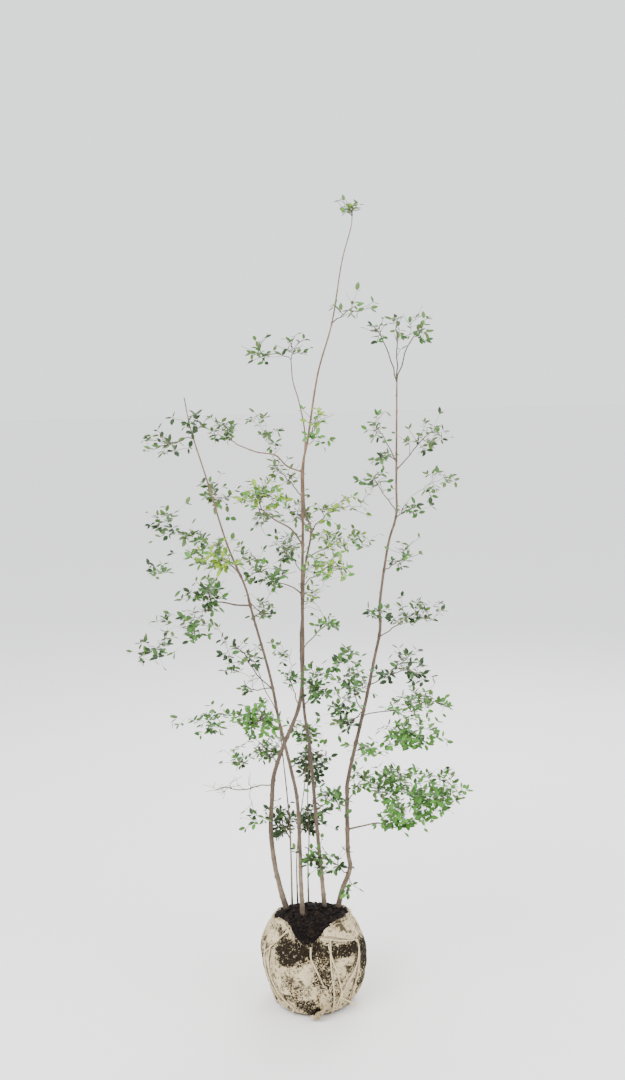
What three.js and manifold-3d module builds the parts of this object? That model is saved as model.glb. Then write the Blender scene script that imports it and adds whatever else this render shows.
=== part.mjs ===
// A many-stemmed deciduous sapling, lifted for planting, that stands on its wrapped root ball.
// Millimetres, +Z up, -Y is the front. The origin is the middle of the ball's flat underside.
// The ball is soil in a burlap wrap, lashed with one long twine. Four stems and three suckers
// rise from the soil, six boughs leave the stems, and each mass of foliage is a twig that
// branches by a seeded rule inside its own spaces and carries whorls of leaves.
import * as THREE from "three";
import { mergeVertices } from "three/addons/utils/BufferGeometryUtils.js";
import Module from "manifold-3d";

const wasm = await Module();
wasm.setup();

// Fits
const GAP = 0.35; // between solids that touch on the real plant
const CLEAR = 0.7; // kept between twigs or leaves and whatever else they pass
const UP = new THREE.Vector3(0, 0, 1);

// Root ball: height and radius of the wrap's outside, from the foot to the gathered rim
const BALL_PROFILE = [
  [0, 84], [10, 95], [35, 108], [70, 119], [105, 125], [140, 126], [172, 118], [200, 105],
  [222, 92], [240, 81],
];
const FOOT_RADIUS = BALL_PROFILE[0][1];
const RIM_HEIGHT = 240;
const SOIL_LEVEL = 236;
const WRAP_THICKNESS = 2.6;
const WRAP_BASE = 8; // the cloth is folded over itself under the ball
const SOIL_ROWS = [35, 105, 172, 222];
const SOIL_BEVEL = 7; // how far its foot is drawn in, over the twine's channels
const BALL_COLUMNS = 28;
const GAPE = { bearing: -1.75, width: 0.42, depth: 46, from: 150 }; // where the cloth falls open in front
const PLEATS = 8;

// Twine
const TWINE_RADIUS = 1.8;
const TWINE_SIDES = 3;
const TWINE_LOOPS = 5;
const TWINE_OFFSET = 19; // how far each loop's plane passes from the ball's axis
const TWINE_TOP = 226;
const TWINE_UNDER = 2.3; // height of its middle where it runs under the ball
const TWINE_LIFT = 1.6; // from the wrap's smooth form to the twine's underside
const TWINE_ROOM = 0.5; // round the twine in its channels under the ball

// Depths in the lists below are shallow, as they were read from the front. Each place is moved
// along the line of sight to its real depth, so that the crown is about as deep as it is wide.
const EYE = [25, -2850, 1500];
const DEPTH = { gain: 3, from: 250, full: 800, halves: 1.6 };

// Stems and suckers: route from the foot to the tip, foot and tip radius, and sides
const FLARE = { share: 0.4, height: 22 };
const STEMS = [
  {
    name: "stem_left_foot", radius: [6.3, 1.1], sides: 7, steps: 20,
    route: [
      [-61, 0, 236], [-78, 0, 290], [-90, 0, 356], [-96, 0, 437], [-91, 0, 513], [-84, 0, 576], [-58, 0, 650],
      [-18, -2, 748], [-6, -6, 860], [-3, -10, 1030], [3, -12, 1173], [5, -10, 1310], [21, -5, 1389],
      [48, 5, 1537], [84, 10, 1654], [110, 16, 1790], [133, 20, 1868], [137, 21, 1895],
    ],
  },
  {
    name: "stem_front", radius: [5.3, 1.2], sides: 7, steps: 16,
    route: [
      [-23, -38, 236], [-26, -36, 323], [-26, -34, 398], [-29, -32, 522], [-44, -30, 609],
      [-67, -32, 721], [-85, -36, 832], [-122, -44, 987], [-136, -48, 1049], [-174, -54, 1150],
      [-212, -60, 1292], [-246, -63, 1415], [-259, -64, 1490],
    ],
  },
  {
    name: "stem_middle", radius: [5.2, 1.2], sides: 7, steps: 20,
    route: [
      [31, -8, 236], [24, 0, 332], [17, 5, 432], [5, 18, 628], [-7, 25, 736], [-10, 30, 894],
      [-2, 32, 984], [4, 32, 1072], [22, 32, 1163], [9, 35, 1215], [8, 36, 1300], [14, 36, 1395],
      [2, 36, 1473], [-11, 36, 1522], [-14, 36, 1572],
    ],
  },
  {
    name: "stem_right", radius: [5.8, 1.9], sides: 7, steps: 18,
    route: [
      [60, 0, 236], [74, 0, 279], [95, 4, 333], [91, 6, 379], [92, 12, 504], [98, 15, 566],
      [144, 24, 749], [166, 28, 847], [182, 30, 920], [184, 32, 993], [206, 36, 1126],
      [227, 38, 1198], [229, 40, 1281], [235, 45, 1513],
    ],
  },
  {
    name: "sucker_left", radius: [2.3, 1.0], sides: 5, steps: 9,
    route: [[-50, 16, 236], [-50, 18, 427], [-60, 22, 593], [-73, 25, 718], [-100, 28, 780], [-118, 30, 837]],
  },
  {
    name: "sucker_middle", radius: [1.9, 1.0], sides: 5, steps: 6,
    route: [[-37, 38, 236], [-36, 40, 343], [-25, 42, 445], [-13, 44, 521], [-6, 46, 597]],
  },
  {
    name: "sucker_back", radius: [2.0, 1.0], sides: 5, steps: 7,
    route: [[-10, 26, 236], [-8, 32, 341], [-4, 40, 399], [-5, 50, 490], [2, 52, 633]],
  },
];

// Boughs: where each leaves its stem, and its route from there
const BOUGHS = [
  {
    name: "bough_high_left", on: "stem_left_foot", radius: [2.0, 1.3],
    route: [[5, -10, 1310], [-30, -10, 1325], [-57, -8, 1351], [-102, -5, 1360], [-148, 0, 1379]],
  },
  {
    name: "bough_upper_left", on: "stem_left_foot", radius: [2.2, 1.5],
    route: [[2, -12, 1138], [-25, -16, 1177], [-62, -20, 1200], [-91, -24, 1225]],
  },
  {
    name: "bough_middle_left", on: "stem_left_foot", radius: [1.9, 1.3],
    route: [[-3, -10, 1020], [-22, -14, 1036], [-43, -17, 1046], [-60, -20, 1051]],
  },
  {
    name: "bough_far_left", on: "stem_front", radius: [2.2, 1.5],
    route: [[-127, -46, 1002], [-158, -48, 1005], [-191, -50, 1013], [-212, -52, 1012]],
  },
  {
    name: "bough_front_left", on: "stem_front", radius: [2.0, 1.4],
    route: [[-146, -50, 1074], [-160, -60, 1096], [-177, -70, 1110]],
  },
  {
    name: "bough_low_right", on: "stem_right", radius: [2.4, 1.5],
    route: [[91, 8, 430], [127, 0, 441], [166, -5, 449], [202, -10, 440]],
  },
];
const BOUGH_SIDES = 5;
const BOUGH_STEPS = 4;

// Foliage: the limb each mass grows from, the height where it leaves it (a bough's mass leaves
// its tip), and its spaces: centre, half sizes, and how many leaves the real plant has there.
const MASSES = [
  { name: "spray_right_top", on: "stem_right", tip: true, spaces: [
    [[180, 20, 1645], [30, 30, 35], 10], [[240, 70, 1660], [25, 35, 30], 12], [[300, 45, 1645], [50, 45, 40], 26]] },
  { name: "spray_right_upper_left", on: "stem_right", height: 1322, spaces: [
    [[180, -10, 1415], [40, 50, 35], 18], [[195, 90, 1335], [35, 45, 20], 14]] },
  { name: "spray_right_upper", on: "stem_right", height: 1300, spaces: [
    [[320, 60, 1395], [75, 65, 35], 40]] },
  { name: "spray_right_far", on: "stem_right", height: 1183, spaces: [
    [[270, -5, 1225], [35, 45, 30], 16], [[340, 20, 1285], [50, 60, 30], 24]] },
  { name: "spray_right_inward", on: "stem_right", height: 1198, spaces: [
    [[170, -20, 1290], [50, 60, 20], 18]] },
  { name: "spray_right_front", on: "stem_right", height: 1054, spaces: [
    [[245, -40, 1110], [30, 50, 40], 20]] },
  { name: "spray_right_middle", on: "stem_right", height: 891, spaces: [
    [[280, 40, 965], [80, 75, 40], 60]] },
  { name: "spray_right_twig", on: "stem_right", height: 935, spaces: [
    [[158, -15, 975], [30, 40, 15], 12]] },
  { name: "spray_right_low_front", on: "stem_right", height: 774, spaces: [
    [[245, -35, 840], [75, 70, 45], 56]] },
  { name: "spray_right_low_back", on: "stem_right", height: 700, spaces: [
    [[295, 60, 735], [75, 75, 30], 70]] },
  { name: "spray_right_low", on: "stem_right", height: 639, spaces: [
    [[150, -40, 640], [30, 35, 20], 12], [[255, -30, 680], [75, 75, 40], 90]] },
  { name: "spray_right_deep", on: "stem_right", height: 493, spaces: [
    [[135, 40, 550], [35, 40, 25], 18], [[225, 65, 530], [65, 60, 50], 90]] },
  { name: "spray_right_outer", on: "bough_low_right", tip: true, spaces: [
    [[215, -45, 475], [50, 50, 20], 45], [[312, -15, 530], [75, 80, 55], 140]] },
  { name: "spray_right_foot", on: "stem_right", height: 320, spaces: [
    [[95, -20, 300], [20, 20, 20], 5], [[65, -35, 355], [20, 25, 15], 8]] },
  { name: "spray_middle_tuft", on: "stem_middle", height: 862, spaces: [
    [[60, -5, 950], [20, 35, 35], 18], [[24, 55, 1015], [20, 30, 25], 16]] },
  { name: "spray_middle_right", on: "stem_right", height: 713, spaces: [
    [[90, 30, 690], [25, 35, 30], 18], [[80, -25, 745], [25, 30, 20], 16],
    [[110, 35, 790], [40, 45, 25], 30], [[100, -40, 865], [50, 50, 35], 56]] },
  { name: "spray_middle_low", on: "stem_middle", height: 724, spaces: [
    [[32, -25, 805], [30, 45, 45], 50]] },
  { name: "spray_sucker_back", on: "sucker_back", tip: true, spaces: [
    [[-5, 50, 670], [35, 40, 30], 26], [[8, 80, 570], [40, 40, 50], 56]] },
  { name: "spray_middle_foot", on: "stem_middle", height: 477, spaces: [
    [[60, -20, 520], [25, 35, 30], 16]] },
  { name: "spray_sucker_left", on: "sucker_left", height: 404, spaces: [
    [[-72, 30, 450], [30, 40, 45], 28]] },
  { name: "spray_sucker_middle", on: "sucker_middle", height: 392, spaces: [
    [[2, 70, 438], [35, 40, 40], 38]] },
  { name: "spray_middle_base", on: "stem_middle", height: 327, spaces: [
    [[15, -35, 375], [20, 30, 30], 16]] },
  { name: "spray_left_low", on: "stem_front", height: 716, spaces: [
    [[-120, -60, 735], [65, 65, 40], 90], [[-255, -30, 725], [70, 55, 40], 36]] },
  { name: "spray_left_low_back", on: "stem_left_foot", height: 606, spaces: [
    [[-105, 45, 630], [35, 40, 30], 28], [[-175, 35, 610], [25, 40, 40], 16]] },
  { name: "spray_left_bare", on: "stem_left_foot", height: 551, spaces: [
    [[-135, -25, 465], [20, 25, 15], 5], [[-210, 10, 545], [70, 40, 20], 0]] },
  { name: "spray_left_middle", on: "stem_front", height: 815, spaces: [
    [[-145, -10, 800], [45, 45, 45], 12], [[-165, -50, 905], [55, 55, 40], 36]] },
  { name: "spray_centre_low", on: "stem_left_foot", height: 746, spaces: [
    [[-40, 40, 805], [20, 30, 30], 12], [[-60, 35, 890], [20, 30, 25], 10]] },
  { name: "spray_left_inner", on: "stem_front", height: 1028, spaces: [
    [[-95, -5, 985], [25, 35, 30], 22], [[-125, -5, 1105], [30, 40, 45], 30]] },
  { name: "spray_left_upper", on: "bough_front_left", tip: true, spaces: [
    [[-200, -70, 1120], [70, 65, 30], 70], [[-230, -20, 1155], [45, 50, 20], 30],
    [[-320, -50, 1205], [55, 55, 30], 50], [[-350, -10, 1085], [30, 40, 30], 16]] },
  { name: "spray_left_far", on: "bough_far_left", tip: true, spaces: [
    [[-225, -50, 1040], [55, 65, 35], 60], [[-255, -60, 960], [65, 65, 50], 60],
    [[-365, -40, 895], [50, 50, 30], 34], [[-355, 10, 960], [35, 40, 20], 10]] },
  { name: "spray_centre_left", on: "bough_middle_left", tip: true, spaces: [
    [[-80, -40, 1072], [60, 55, 28], 50]] },
  { name: "spray_upper_left", on: "bough_upper_left", tip: true, spaces: [
    [[-75, 20, 1200], [50, 50, 20], 30], [[-90, -40, 1262], [60, 60, 30], 70],
    [[-205, -10, 1258], [60, 60, 35], 50]] },
  { name: "spray_upper_back", on: "stem_left_foot", height: 1255, spaces: [
    [[-55, 30, 1318], [40, 45, 30], 22], [[-85, 45, 1435], [50, 50, 35], 34]] },
  { name: "spray_centre_back", on: "stem_middle", height: 1050, spaces: [
    [[-45, 75, 1125], [45, 50, 40], 60]] },
  { name: "spray_centre_upper", on: "stem_middle", height: 1149, spaces: [
    [[-10, 80, 1210], [35, 40, 45], 40], [[95, 10, 1228], [65, 60, 25], 36]] },
  { name: "spray_centre_right", on: "stem_middle", height: 1091, spaces: [
    [[90, 70, 1140], [65, 55, 28], 54], [[165, 95, 1130], [35, 35, 25], 10]] },
  { name: "spray_centre_front", on: "stem_left_foot", height: 1045, spaces: [
    [[62, -62, 1093], [65, 55, 30], 60]] },
  { name: "spray_high_left", on: "bough_high_left", tip: true, spaces: [
    [[-180, 5, 1415], [50, 50, 35], 38]] },
  { name: "spray_high", on: "stem_left_foot", height: 1377, spaces: [
    [[45, -30, 1440], [20, 25, 30], 16], [[40, -55, 1395], [35, 35, 20], 14]] },
  { name: "spray_left_leader", on: "stem_middle", tip: true, spaces: [
    [[0, 50, 1600], [35, 40, 30], 18], [[-90, 20, 1590], [40, 45, 35], 24]] },
  { name: "spray_leader_side", on: "stem_left_foot", height: 1654, spaces: [
    [[140, 0, 1690], [50, 45, 20], 16]] },
  { name: "spray_leader_top", on: "stem_left_foot", tip: true, spaces: [
    [[130, 23, 1911], [22, 22, 16], 9]] },
  { name: "spray_left_top", on: "stem_front", height: 1401, spaces: [
    [[-236, -84, 1440], [30, 40, 35], 22], [[-325, -50, 1382], [65, 55, 32], 30]] },
];
const LEAVES_PER_WHORL = 52; // of the real leaves, that one whorl past the first stands for
const LEAF = { length: 54, width: 24, thickness: 1.6, belly: 0.52, sink: 2.5, least: 0.75 };
const STALK = { start: 1.8, end: 1.5, bud: 2.1, steps: 3 }; // radii and pieces of a twig into a space
const TWIG = { start: 1.4, end: 1.1, bud: 2.0, steps: 2 }; // and of a twig that leaves it
const BARE_STALK = { start: 1.8, end: 1.2, bud: 1.2, steps: 3 };
const BARE_TWIG = { start: 1.2, end: 0.9, bud: 0.6, steps: 2 };
const BARE_TWIGS = 5; // in a space with no leaves
const TWIG_SIDES = 3;
const WHORL = { least: 3, most: 4, splay: 1.15, fan: 0.9, roll: 1.2 };

// Colours, as sRGB
const COLOURS = {
  soil: [0x2a211b, 1.0],
  burlap: [0xbfae8c, 0.95],
  twine: [0xcbb995, 0.9],
  bark: [0x7c6455, 0.8],
  leaf: [0x5f9440, 0.55],
};

// A stream of even random numbers from 0 to 1 that is the same on every run.
function randomStream(seed) {
  let state = seed >>> 0;
  return () => {
    state = (state + 0x6d2b79f5) >>> 0;
    let mixed = Math.imul(state ^ (state >>> 15), state | 1);
    mixed ^= mixed + Math.imul(mixed ^ (mixed >>> 7), mixed | 61);
    return ((mixed ^ (mixed >>> 14)) >>> 0) / 4294967296;
  };
}

const vector = (p) => new THREE.Vector3(...p);

function deepened([x, y, z]) {
  const gain = blend(1, DEPTH.gain, smooth(DEPTH.from, DEPTH.full, z));
  const share = (y * gain - EYE[1]) / (y - EYE[1]);
  return [x, y, z].map((value, axis) => EYE[axis] + (value - EYE[axis]) * share);
}

const blend = (a, b, share) => a + (b - a) * share;
const smooth = (low, high, x) => THREE.MathUtils.smoothstep(x, low, high);

function solidFrom(geometry) {
  const bare = geometry.index ? geometry.toNonIndexed() : geometry.clone();
  bare.deleteAttribute("normal");
  bare.deleteAttribute("uv");
  const merged = mergeVertices(bare, 1e-3);
  return new wasm.Manifold(new wasm.Mesh({
    numProp: 3,
    vertProperties: new Float32Array(merged.attributes.position.array),
    triVerts: new Uint32Array(merged.index.array),
  }));
}

function geometryFrom(solid) {
  const mesh = solid.getMesh();
  const geometry = new THREE.BufferGeometry();
  geometry.setAttribute("position", new THREE.BufferAttribute(new Float32Array(mesh.vertProperties), 3));
  geometry.setIndex(new THREE.BufferAttribute(new Uint32Array(mesh.triVerts), 1));
  geometry.computeVertexNormals();
  return geometry;
}

// The largest body of a solid: what a cut leaves loose is dropped.
function largestBody(solid) {
  return solid.decompose().reduce((a, b) => (a.volume() > b.volume() ? a : b));
}

// Root ball

function ballRadius(height) {
  const next = BALL_PROFILE.findIndex(([h]) => h >= height);
  if (next < 0) return BALL_PROFILE.at(-1)[1] - (height - BALL_PROFILE.at(-1)[0]) * 0.7;
  if (next === 0) return FOOT_RADIUS;
  const [[h0, r0], [h1, r1]] = [BALL_PROFILE[next - 1], BALL_PROFILE[next]];
  return blend(r0, r1, (height - h0) / (h1 - h0));
}

// Lumps of the tied ball and pleats of the gathered cloth, both nil at the flat foot.
function lumps(bearing, height) {
  const rise = smooth(0, 60, height);
  const lobes = 3.2 * Math.sin(3 * bearing + 0.6 + height / 70) + 2.0 * Math.sin(5 * bearing + 1.9 - height / 50);
  const pleats = 1.8 * Math.sin(PLEATS * bearing) * smooth(190, RIM_HEIGHT, height);
  return rise * lobes + pleats;
}

const wallRadius = (bearing, height) => ballRadius(height) + lumps(bearing, height);

function rimHeight(bearing) {
  const away = Math.atan2(Math.sin(bearing - GAPE.bearing), Math.cos(bearing - GAPE.bearing));
  const fall = GAPE.depth * Math.exp(-((away / GAPE.width) ** 2));
  return RIM_HEIGHT + 4 * Math.sin(4 * bearing + 1) - fall;
}

// A turned form: rows of points round the axis, each row's radius and height set by its bearing.
function turned(rows) {
  const profile = rows.map((row) => new THREE.Vector2(row.axis ? 0 : 1, 0));
  const geometry = new THREE.LatheGeometry(profile, BALL_COLUMNS);
  const position = geometry.attributes.position;
  for (let i = 0; i < position.count; i++) {
    const bearing = ((Math.floor(i / rows.length) % BALL_COLUMNS) / BALL_COLUMNS) * 2 * Math.PI;
    const row = rows[i % rows.length];
    const radius = row.axis ? 0 : row.radius(bearing);
    position.setXYZ(i, radius * Math.cos(bearing), radius * Math.sin(bearing), row.height(bearing));
  }
  return solidFrom(geometry);
}

// One row of the wrap's outside: above the gape's foot, the rows share out what the rim leaves.
function wallRow(level) {
  const share = Math.max(0, (level - GAPE.from) / (RIM_HEIGHT - GAPE.from));
  const height = (bearing) => (share > 0 ? blend(GAPE.from, rimHeight(bearing), share) : level);
  return { height, radius: (bearing) => wallRadius(bearing, height(bearing)) };
}

function burlapWrap() {
  const form = turned([
    { axis: true, height: () => 0 },
    ...BALL_PROFILE.map(([height]) => wallRow(height)),
    { axis: true, height: () => RIM_HEIGHT },
  ]);
  const tail = limbSolid({
    radius: [7, 3.5], sides: 7, steps: 5, stretch: 0,
    route: [[26, -96, 58], [20, -106, 36], [9, -110, 19], [-8, -108, 11], [-18, -100, 7]],
  });
  return largestBody(wasm.Manifold.union([form, tail])
    .subtract(soilBall(0, [SOIL_LEVEL, RIM_HEIGHT + 20]))
    .subtract(wasm.Manifold.union(Array.from({ length: TWINE_LOOPS }, (_, i) => twineChannel(i))))
    .simplify(0.05));
}

// The soil inside the wrap, set in from it all round, with a flat top at the last of the levels.
function soilBall(inset, levels) {
  const bed = WRAP_BASE + inset;
  const row = (height, extra = 0) => ({
    height: () => height,
    radius: (bearing) => wallRadius(bearing, height) - WRAP_THICKNESS - inset - extra,
  });
  return turned([
    { axis: true, height: () => bed }, row(bed, SOIL_BEVEL), ...[...SOIL_ROWS, ...levels].map((height) => row(height)),
    { axis: true, height: () => levels.at(-1) },
  ]);
}

// Twine

// A round rod along a route, swept by three.js from a regular section.
function rodSolid(points, radius, sides, steps, closed = false) {
  const curve = new THREE.CatmullRomCurve3(points, closed);
  const section = new THREE.Shape(Array.from({ length: sides }, (_, i) => {
    const turn = (i / sides) * 2 * Math.PI;
    return new THREE.Vector2(radius * Math.cos(turn), radius * Math.sin(turn));
  }));
  return solidFrom(new THREE.ExtrudeGeometry(section, { steps, extrudePath: curve, bevelEnabled: false }));
}

function onBall(bearing, height, out) {
  const radius = wallRadius(bearing, height) + out;
  return new THREE.Vector3(radius * Math.cos(bearing), radius * Math.sin(bearing), height);
}

// Each loop lies in an upright plane beside the axis, and this is where the plane faces.
const loopBearing = (index) => ((index + 0.35) * Math.PI) / TWINE_LOOPS;

// Down one side of the ball, under the foot, and up the other side.
function twineLoop(index) {
  const heights = [TWINE_TOP, 205, 180, 150, 115, 80, 48, 24];
  const reach = [FOOT_RADIUS + 13, FOOT_RADIUS - 3, FOOT_RADIUS - 16, 25];
  const normal = loopBearing(index);
  const side = (way) => heights.map((height) => {
    const turn = Math.acos(TWINE_OFFSET / ballRadius(height));
    const lift = height > 40 ? TWINE_LIFT : 2 * TWINE_LIFT;
    return onBall(normal + way * turn, height, TWINE_RADIUS + lift);
  });
  const under = [...reach, ...reach.map((along) => -along).reverse()].map((along) => new THREE.Vector3(
    TWINE_OFFSET * Math.cos(normal) - along * Math.sin(normal),
    TWINE_OFFSET * Math.sin(normal) + along * Math.cos(normal),
    Math.abs(along) > FOOT_RADIUS ? 9 : TWINE_UNDER,
  ));
  return rodSolid([...side(1), ...under, ...side(-1).reverse()], TWINE_RADIUS, TWINE_SIDES, 24);
}

// The straight groove under the ball that one loop lies in, deeper towards the ball's edge.
function twineChannel(index) {
  const width = 2 * (TWINE_RADIUS + TWINE_ROOM);
  const [middle, edge] = [FOOT_RADIUS - 8, FOOT_RADIUS + 16];
  const [top, high] = [TWINE_UNDER + TWINE_RADIUS + TWINE_ROOM, 20];
  const outline = [[-edge, -2], [edge, -2], [edge, high], [middle, top], [-middle, top], [-edge, high]];
  const section = new THREE.Shape(outline.map(([x, y]) => new THREE.Vector2(x, y)));
  const geometry = new THREE.ExtrudeGeometry(section, { depth: width, bevelEnabled: false });
  geometry.translate(0, 0, TWINE_OFFSET - width / 2).rotateX(Math.PI / 2).rotateZ(loopBearing(index) + Math.PI / 2);
  return solidFrom(geometry);
}

function twineLashing() {
  const ring = Array.from({ length: 24 }, (_, i) =>
    onBall((i / 24) * 2 * Math.PI, TWINE_TOP, TWINE_RADIUS + TWINE_LIFT));
  const loops = Array.from({ length: TWINE_LOOPS }, (_, i) => twineLoop(i));
  return largestBody(wasm.Manifold.union([...loops, rodSolid(ring, TWINE_RADIUS, TWINE_SIDES, 26, true)]));
}

// Limbs

const limbRadius = ({ radius, flare = 0 }, share, run) =>
  blend(radius[0], radius[1], share ** 0.9) * (1 + flare * Math.exp(-run / FLARE.height));

// Evenly spaced stations along a limb's route: place, way along it, and radius.
function stations(limb) {
  const curve = new THREE.CatmullRomCurve3(limb.route.map(vector), false, "catmullrom");
  const length = curve.getLength();
  return Array.from({ length: limb.steps + 1 }, (_, i) => {
    const share = i / limb.steps;
    return {
      at: curve.getPointAt(share),
      way: curve.getTangentAt(share),
      radius: limbRadius(limb, share, share * length),
    };
  });
}

// A closed cylinder bent along the stations. The swell widens it all over, ends too.
function bentCylinder(places, sides, swell = 0, level = false) {
  const steps = places.length - 1;
  const geometry = new THREE.CylinderGeometry(1, 1, 1, sides, steps);
  const position = geometry.attributes.position;
  const across = new THREE.Vector3();
  for (let i = 0; i < position.count; i++) {
    const [x, y, z] = [position.getX(i), position.getY(i), position.getZ(i)];
    const k = Math.round((y + 0.5) * steps);
    const { at, way, radius } = places[k];
    const side = sideways(way);
    const spin = new THREE.Vector3().crossVectors(way, side);
    across.set(0, 0, 0).addScaledVector(side, z).addScaledVector(spin, x).multiplyScalar(radius + swell);
    const point = at.clone().add(across);
    if (k === 0) point.addScaledVector(way, -swell);
    if (k === steps) point.addScaledVector(way, swell);
    if (k === 0 && level) point.z = at.z;
    position.setXYZ(i, point.x, point.y, point.z);
  }
  return solidFrom(geometry);
}

// A steady direction square to the way, so that the rings of a limb don't twist.
function sideways(way) {
  const mostly = Math.abs(way.x) < 0.8 ? new THREE.Vector3(1, 0, 0) : new THREE.Vector3(0, 1, 0);
  return mostly.addScaledVector(way, -mostly.dot(way)).normalize();
}

function limbSolid(limb, swell = 0) {
  return bentCylinder(stations(limb), limb.sides, swell, limb.foot);
}

// Foliage

// Least distance between the segments a-b and c-d.
function segmentGap(a, b, c, d) {
  const [u, v, w] = [b.clone().sub(a), d.clone().sub(c), a.clone().sub(c)];
  const [uu, uv, vv, uw, vw] = [u.dot(u), u.dot(v), v.dot(v), u.dot(w), v.dot(w)];
  const det = uu * vv - uv * uv;
  const clamp = (x) => Math.min(1, Math.max(0, x));
  let s = det > 1e-9 ? clamp((uv * vw - vv * uw) / det) : 0;
  const t = vv > 1e-9 ? clamp((uv * s + vw) / vv) : 0;
  s = uu > 1e-9 ? clamp((uv * t - uw) / uu) : 0;
  return u.multiplyScalar(s).add(w).addScaledVector(v, -t).length();
}

// Everything that stands in the crown so far, as segments with a radius and an owner's name.
const standing = [];

function isClear(a, b, radius, owner, grace) {
  return standing.every((other) =>
    other.owner === owner || other.owner === grace ||
    segmentGap(a, b, other.a, other.b) > radius + other.radius + CLEAR);
}

function addStanding(points, radii, owner) {
  for (let i = 1; i < points.length; i++)
    standing.push({ a: points[i - 1], b: points[i], radius: Math.max(radii[i - 1], radii[i]), owner });
}

// Points spread evenly through a space: however many are taken, they fill it.
const SPACE_FILL = 0.8; // whorls reach past their points
const SPREAD = [0.8191725133961645, 0.6710436067037893, 0.5497004779019703];

function spacePoint([centre, half], index, start) {
  const [u, v, w] = SPREAD.map((step, k) => (start[k] + (index + 1) * step) % 1);
  const [radius, turn, rise] = [SPACE_FILL * u ** 0.33, v * 2 * Math.PI, 2 * w - 1];
  const level = Math.sqrt(1 - rise * rise);
  return new THREE.Vector3(
    centre[0] + half[0] * radius * level * Math.cos(turn),
    centre[1] + half[1] * radius * level * Math.sin(turn),
    centre[2] + half[2] * radius * rise,
  );
}

// The curved way of a twig: it leaves along its parent and arrives along its own end's way.
function twigPoints(joint, target, endWay, bow, steps) {
  const straight = target.clone().sub(joint.at);
  const length = straight.length();
  const leave = straight.clone().normalize().multiplyScalar(0.6).addScaledVector(joint.way, 0.5).normalize();
  const near = joint.at.clone().addScaledVector(leave, length * 0.35).addScaledVector(bow, length);
  const far = target.clone().addScaledVector(endWay, -length * 0.3).addScaledVector(bow, length);
  const curve = new THREE.CubicBezierCurve3(joint.at, near, far, target);
  const shares = Array.from({ length: steps + 1 }, (_, i) => i / steps);
  return shares.map((t) => ({ at: curve.getPoint(t), way: curve.getTangent(t) }));
}

const BOWS = [[0, 0, 0], [0, 0, 0.12], [0, 0.14, 0], [0, -0.14, 0], [0, 0, -0.12], [0.12, 0, 0.1], [-0.12, 0, 0.1]].map(vector);

// Grows one twig from the nearest joint that has a clear way to the target, and returns it.
function growTwig(plant, target, endWay, kind) {
  const cost = (joint) => joint.at.distanceTo(target) + 0.35 * joint.run;
  const nearest = [...plant.joints].sort((a, b) => cost(a) - cost(b)).slice(0, 6);
  for (const joint of nearest) {
    if (joint.at.distanceTo(target) < 4) continue;
    for (const bow of BOWS) {
      const places = twigPoints(joint, target, endWay, bow, kind.steps);
      const points = places.map((place) => place.at);
      const start = Math.min(kind.start, joint.radius * 0.9);
      const widths = places.map((_, i) => blend(start, Math.min(start, kind.end), i / kind.steps));
      widths[kind.steps] = kind.bud;
      const clear = points.slice(1).every((point, i) =>
        isClear(points[i], point, widths[i], plant.name, joint.run === 0 && i === 0 ? plant.limb : null));
      if (!clear) continue;
      addStanding(points, widths, plant.name);
      places.forEach((place, i) => { place.radius = widths[i]; });
      const length = joint.at.distanceTo(target);
      places.slice(1).forEach((place, i) => {
        const run = joint.run + (length * (i + 1)) / kind.steps;
        plant.joints.push({ at: place.at, way: place.way, radius: place.radius, run });
      });
      plant.twigs.push(places);
      return places;
    }
  }
  return null;
}

// A whorl of leaves that spread from one point just inside a twig's end.
function growWhorl(plant, twig, random) {
  const [before, end] = twig.slice(-2);
  const inward = before.at.clone().sub(end.at).normalize();
  const count = WHORL.least + Math.floor(random() * (WHORL.most - WHORL.least + 1));
  const first = random() * 2 * Math.PI;
  const side = sideways(end.way);
  const spin = new THREE.Vector3().crossVectors(end.way, side);
  const base = end.at.clone().addScaledVector(inward, LEAF.sink);
  for (let i = 0; i < count; i++) {
    const turn = first + ((i + 0.5 * random()) / count) * 2 * Math.PI;
    const splay = WHORL.splay + (random() - 0.5) * WHORL.fan;
    const size = LEAF.least + (1 - LEAF.least) * random();
    const out = side.clone().multiplyScalar(Math.cos(turn)).addScaledVector(spin, Math.sin(turn));
    const way = end.way.clone().multiplyScalar(Math.cos(splay)).addScaledVector(out, Math.sin(splay));
    const face = end.way.clone().multiplyScalar(Math.sin(splay)).addScaledVector(out, -Math.cos(splay));
    face.applyAxisAngle(way, (random() - 0.5) * WHORL.roll);
    const [length, radius] = [LEAF.length * size, LEAF.width * size * 0.42];
    const tip = base.clone().addScaledVector(way, length - radius);
    const body = base.clone().addScaledVector(way, radius + 2);
    if (!isClear(body, tip, radius, plant.name, null)) continue;
    standing.push({ a: body, b: tip, radius, owner: plant.name });
    plant.leaves.push({ base, way, face, size });
  }
}

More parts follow.
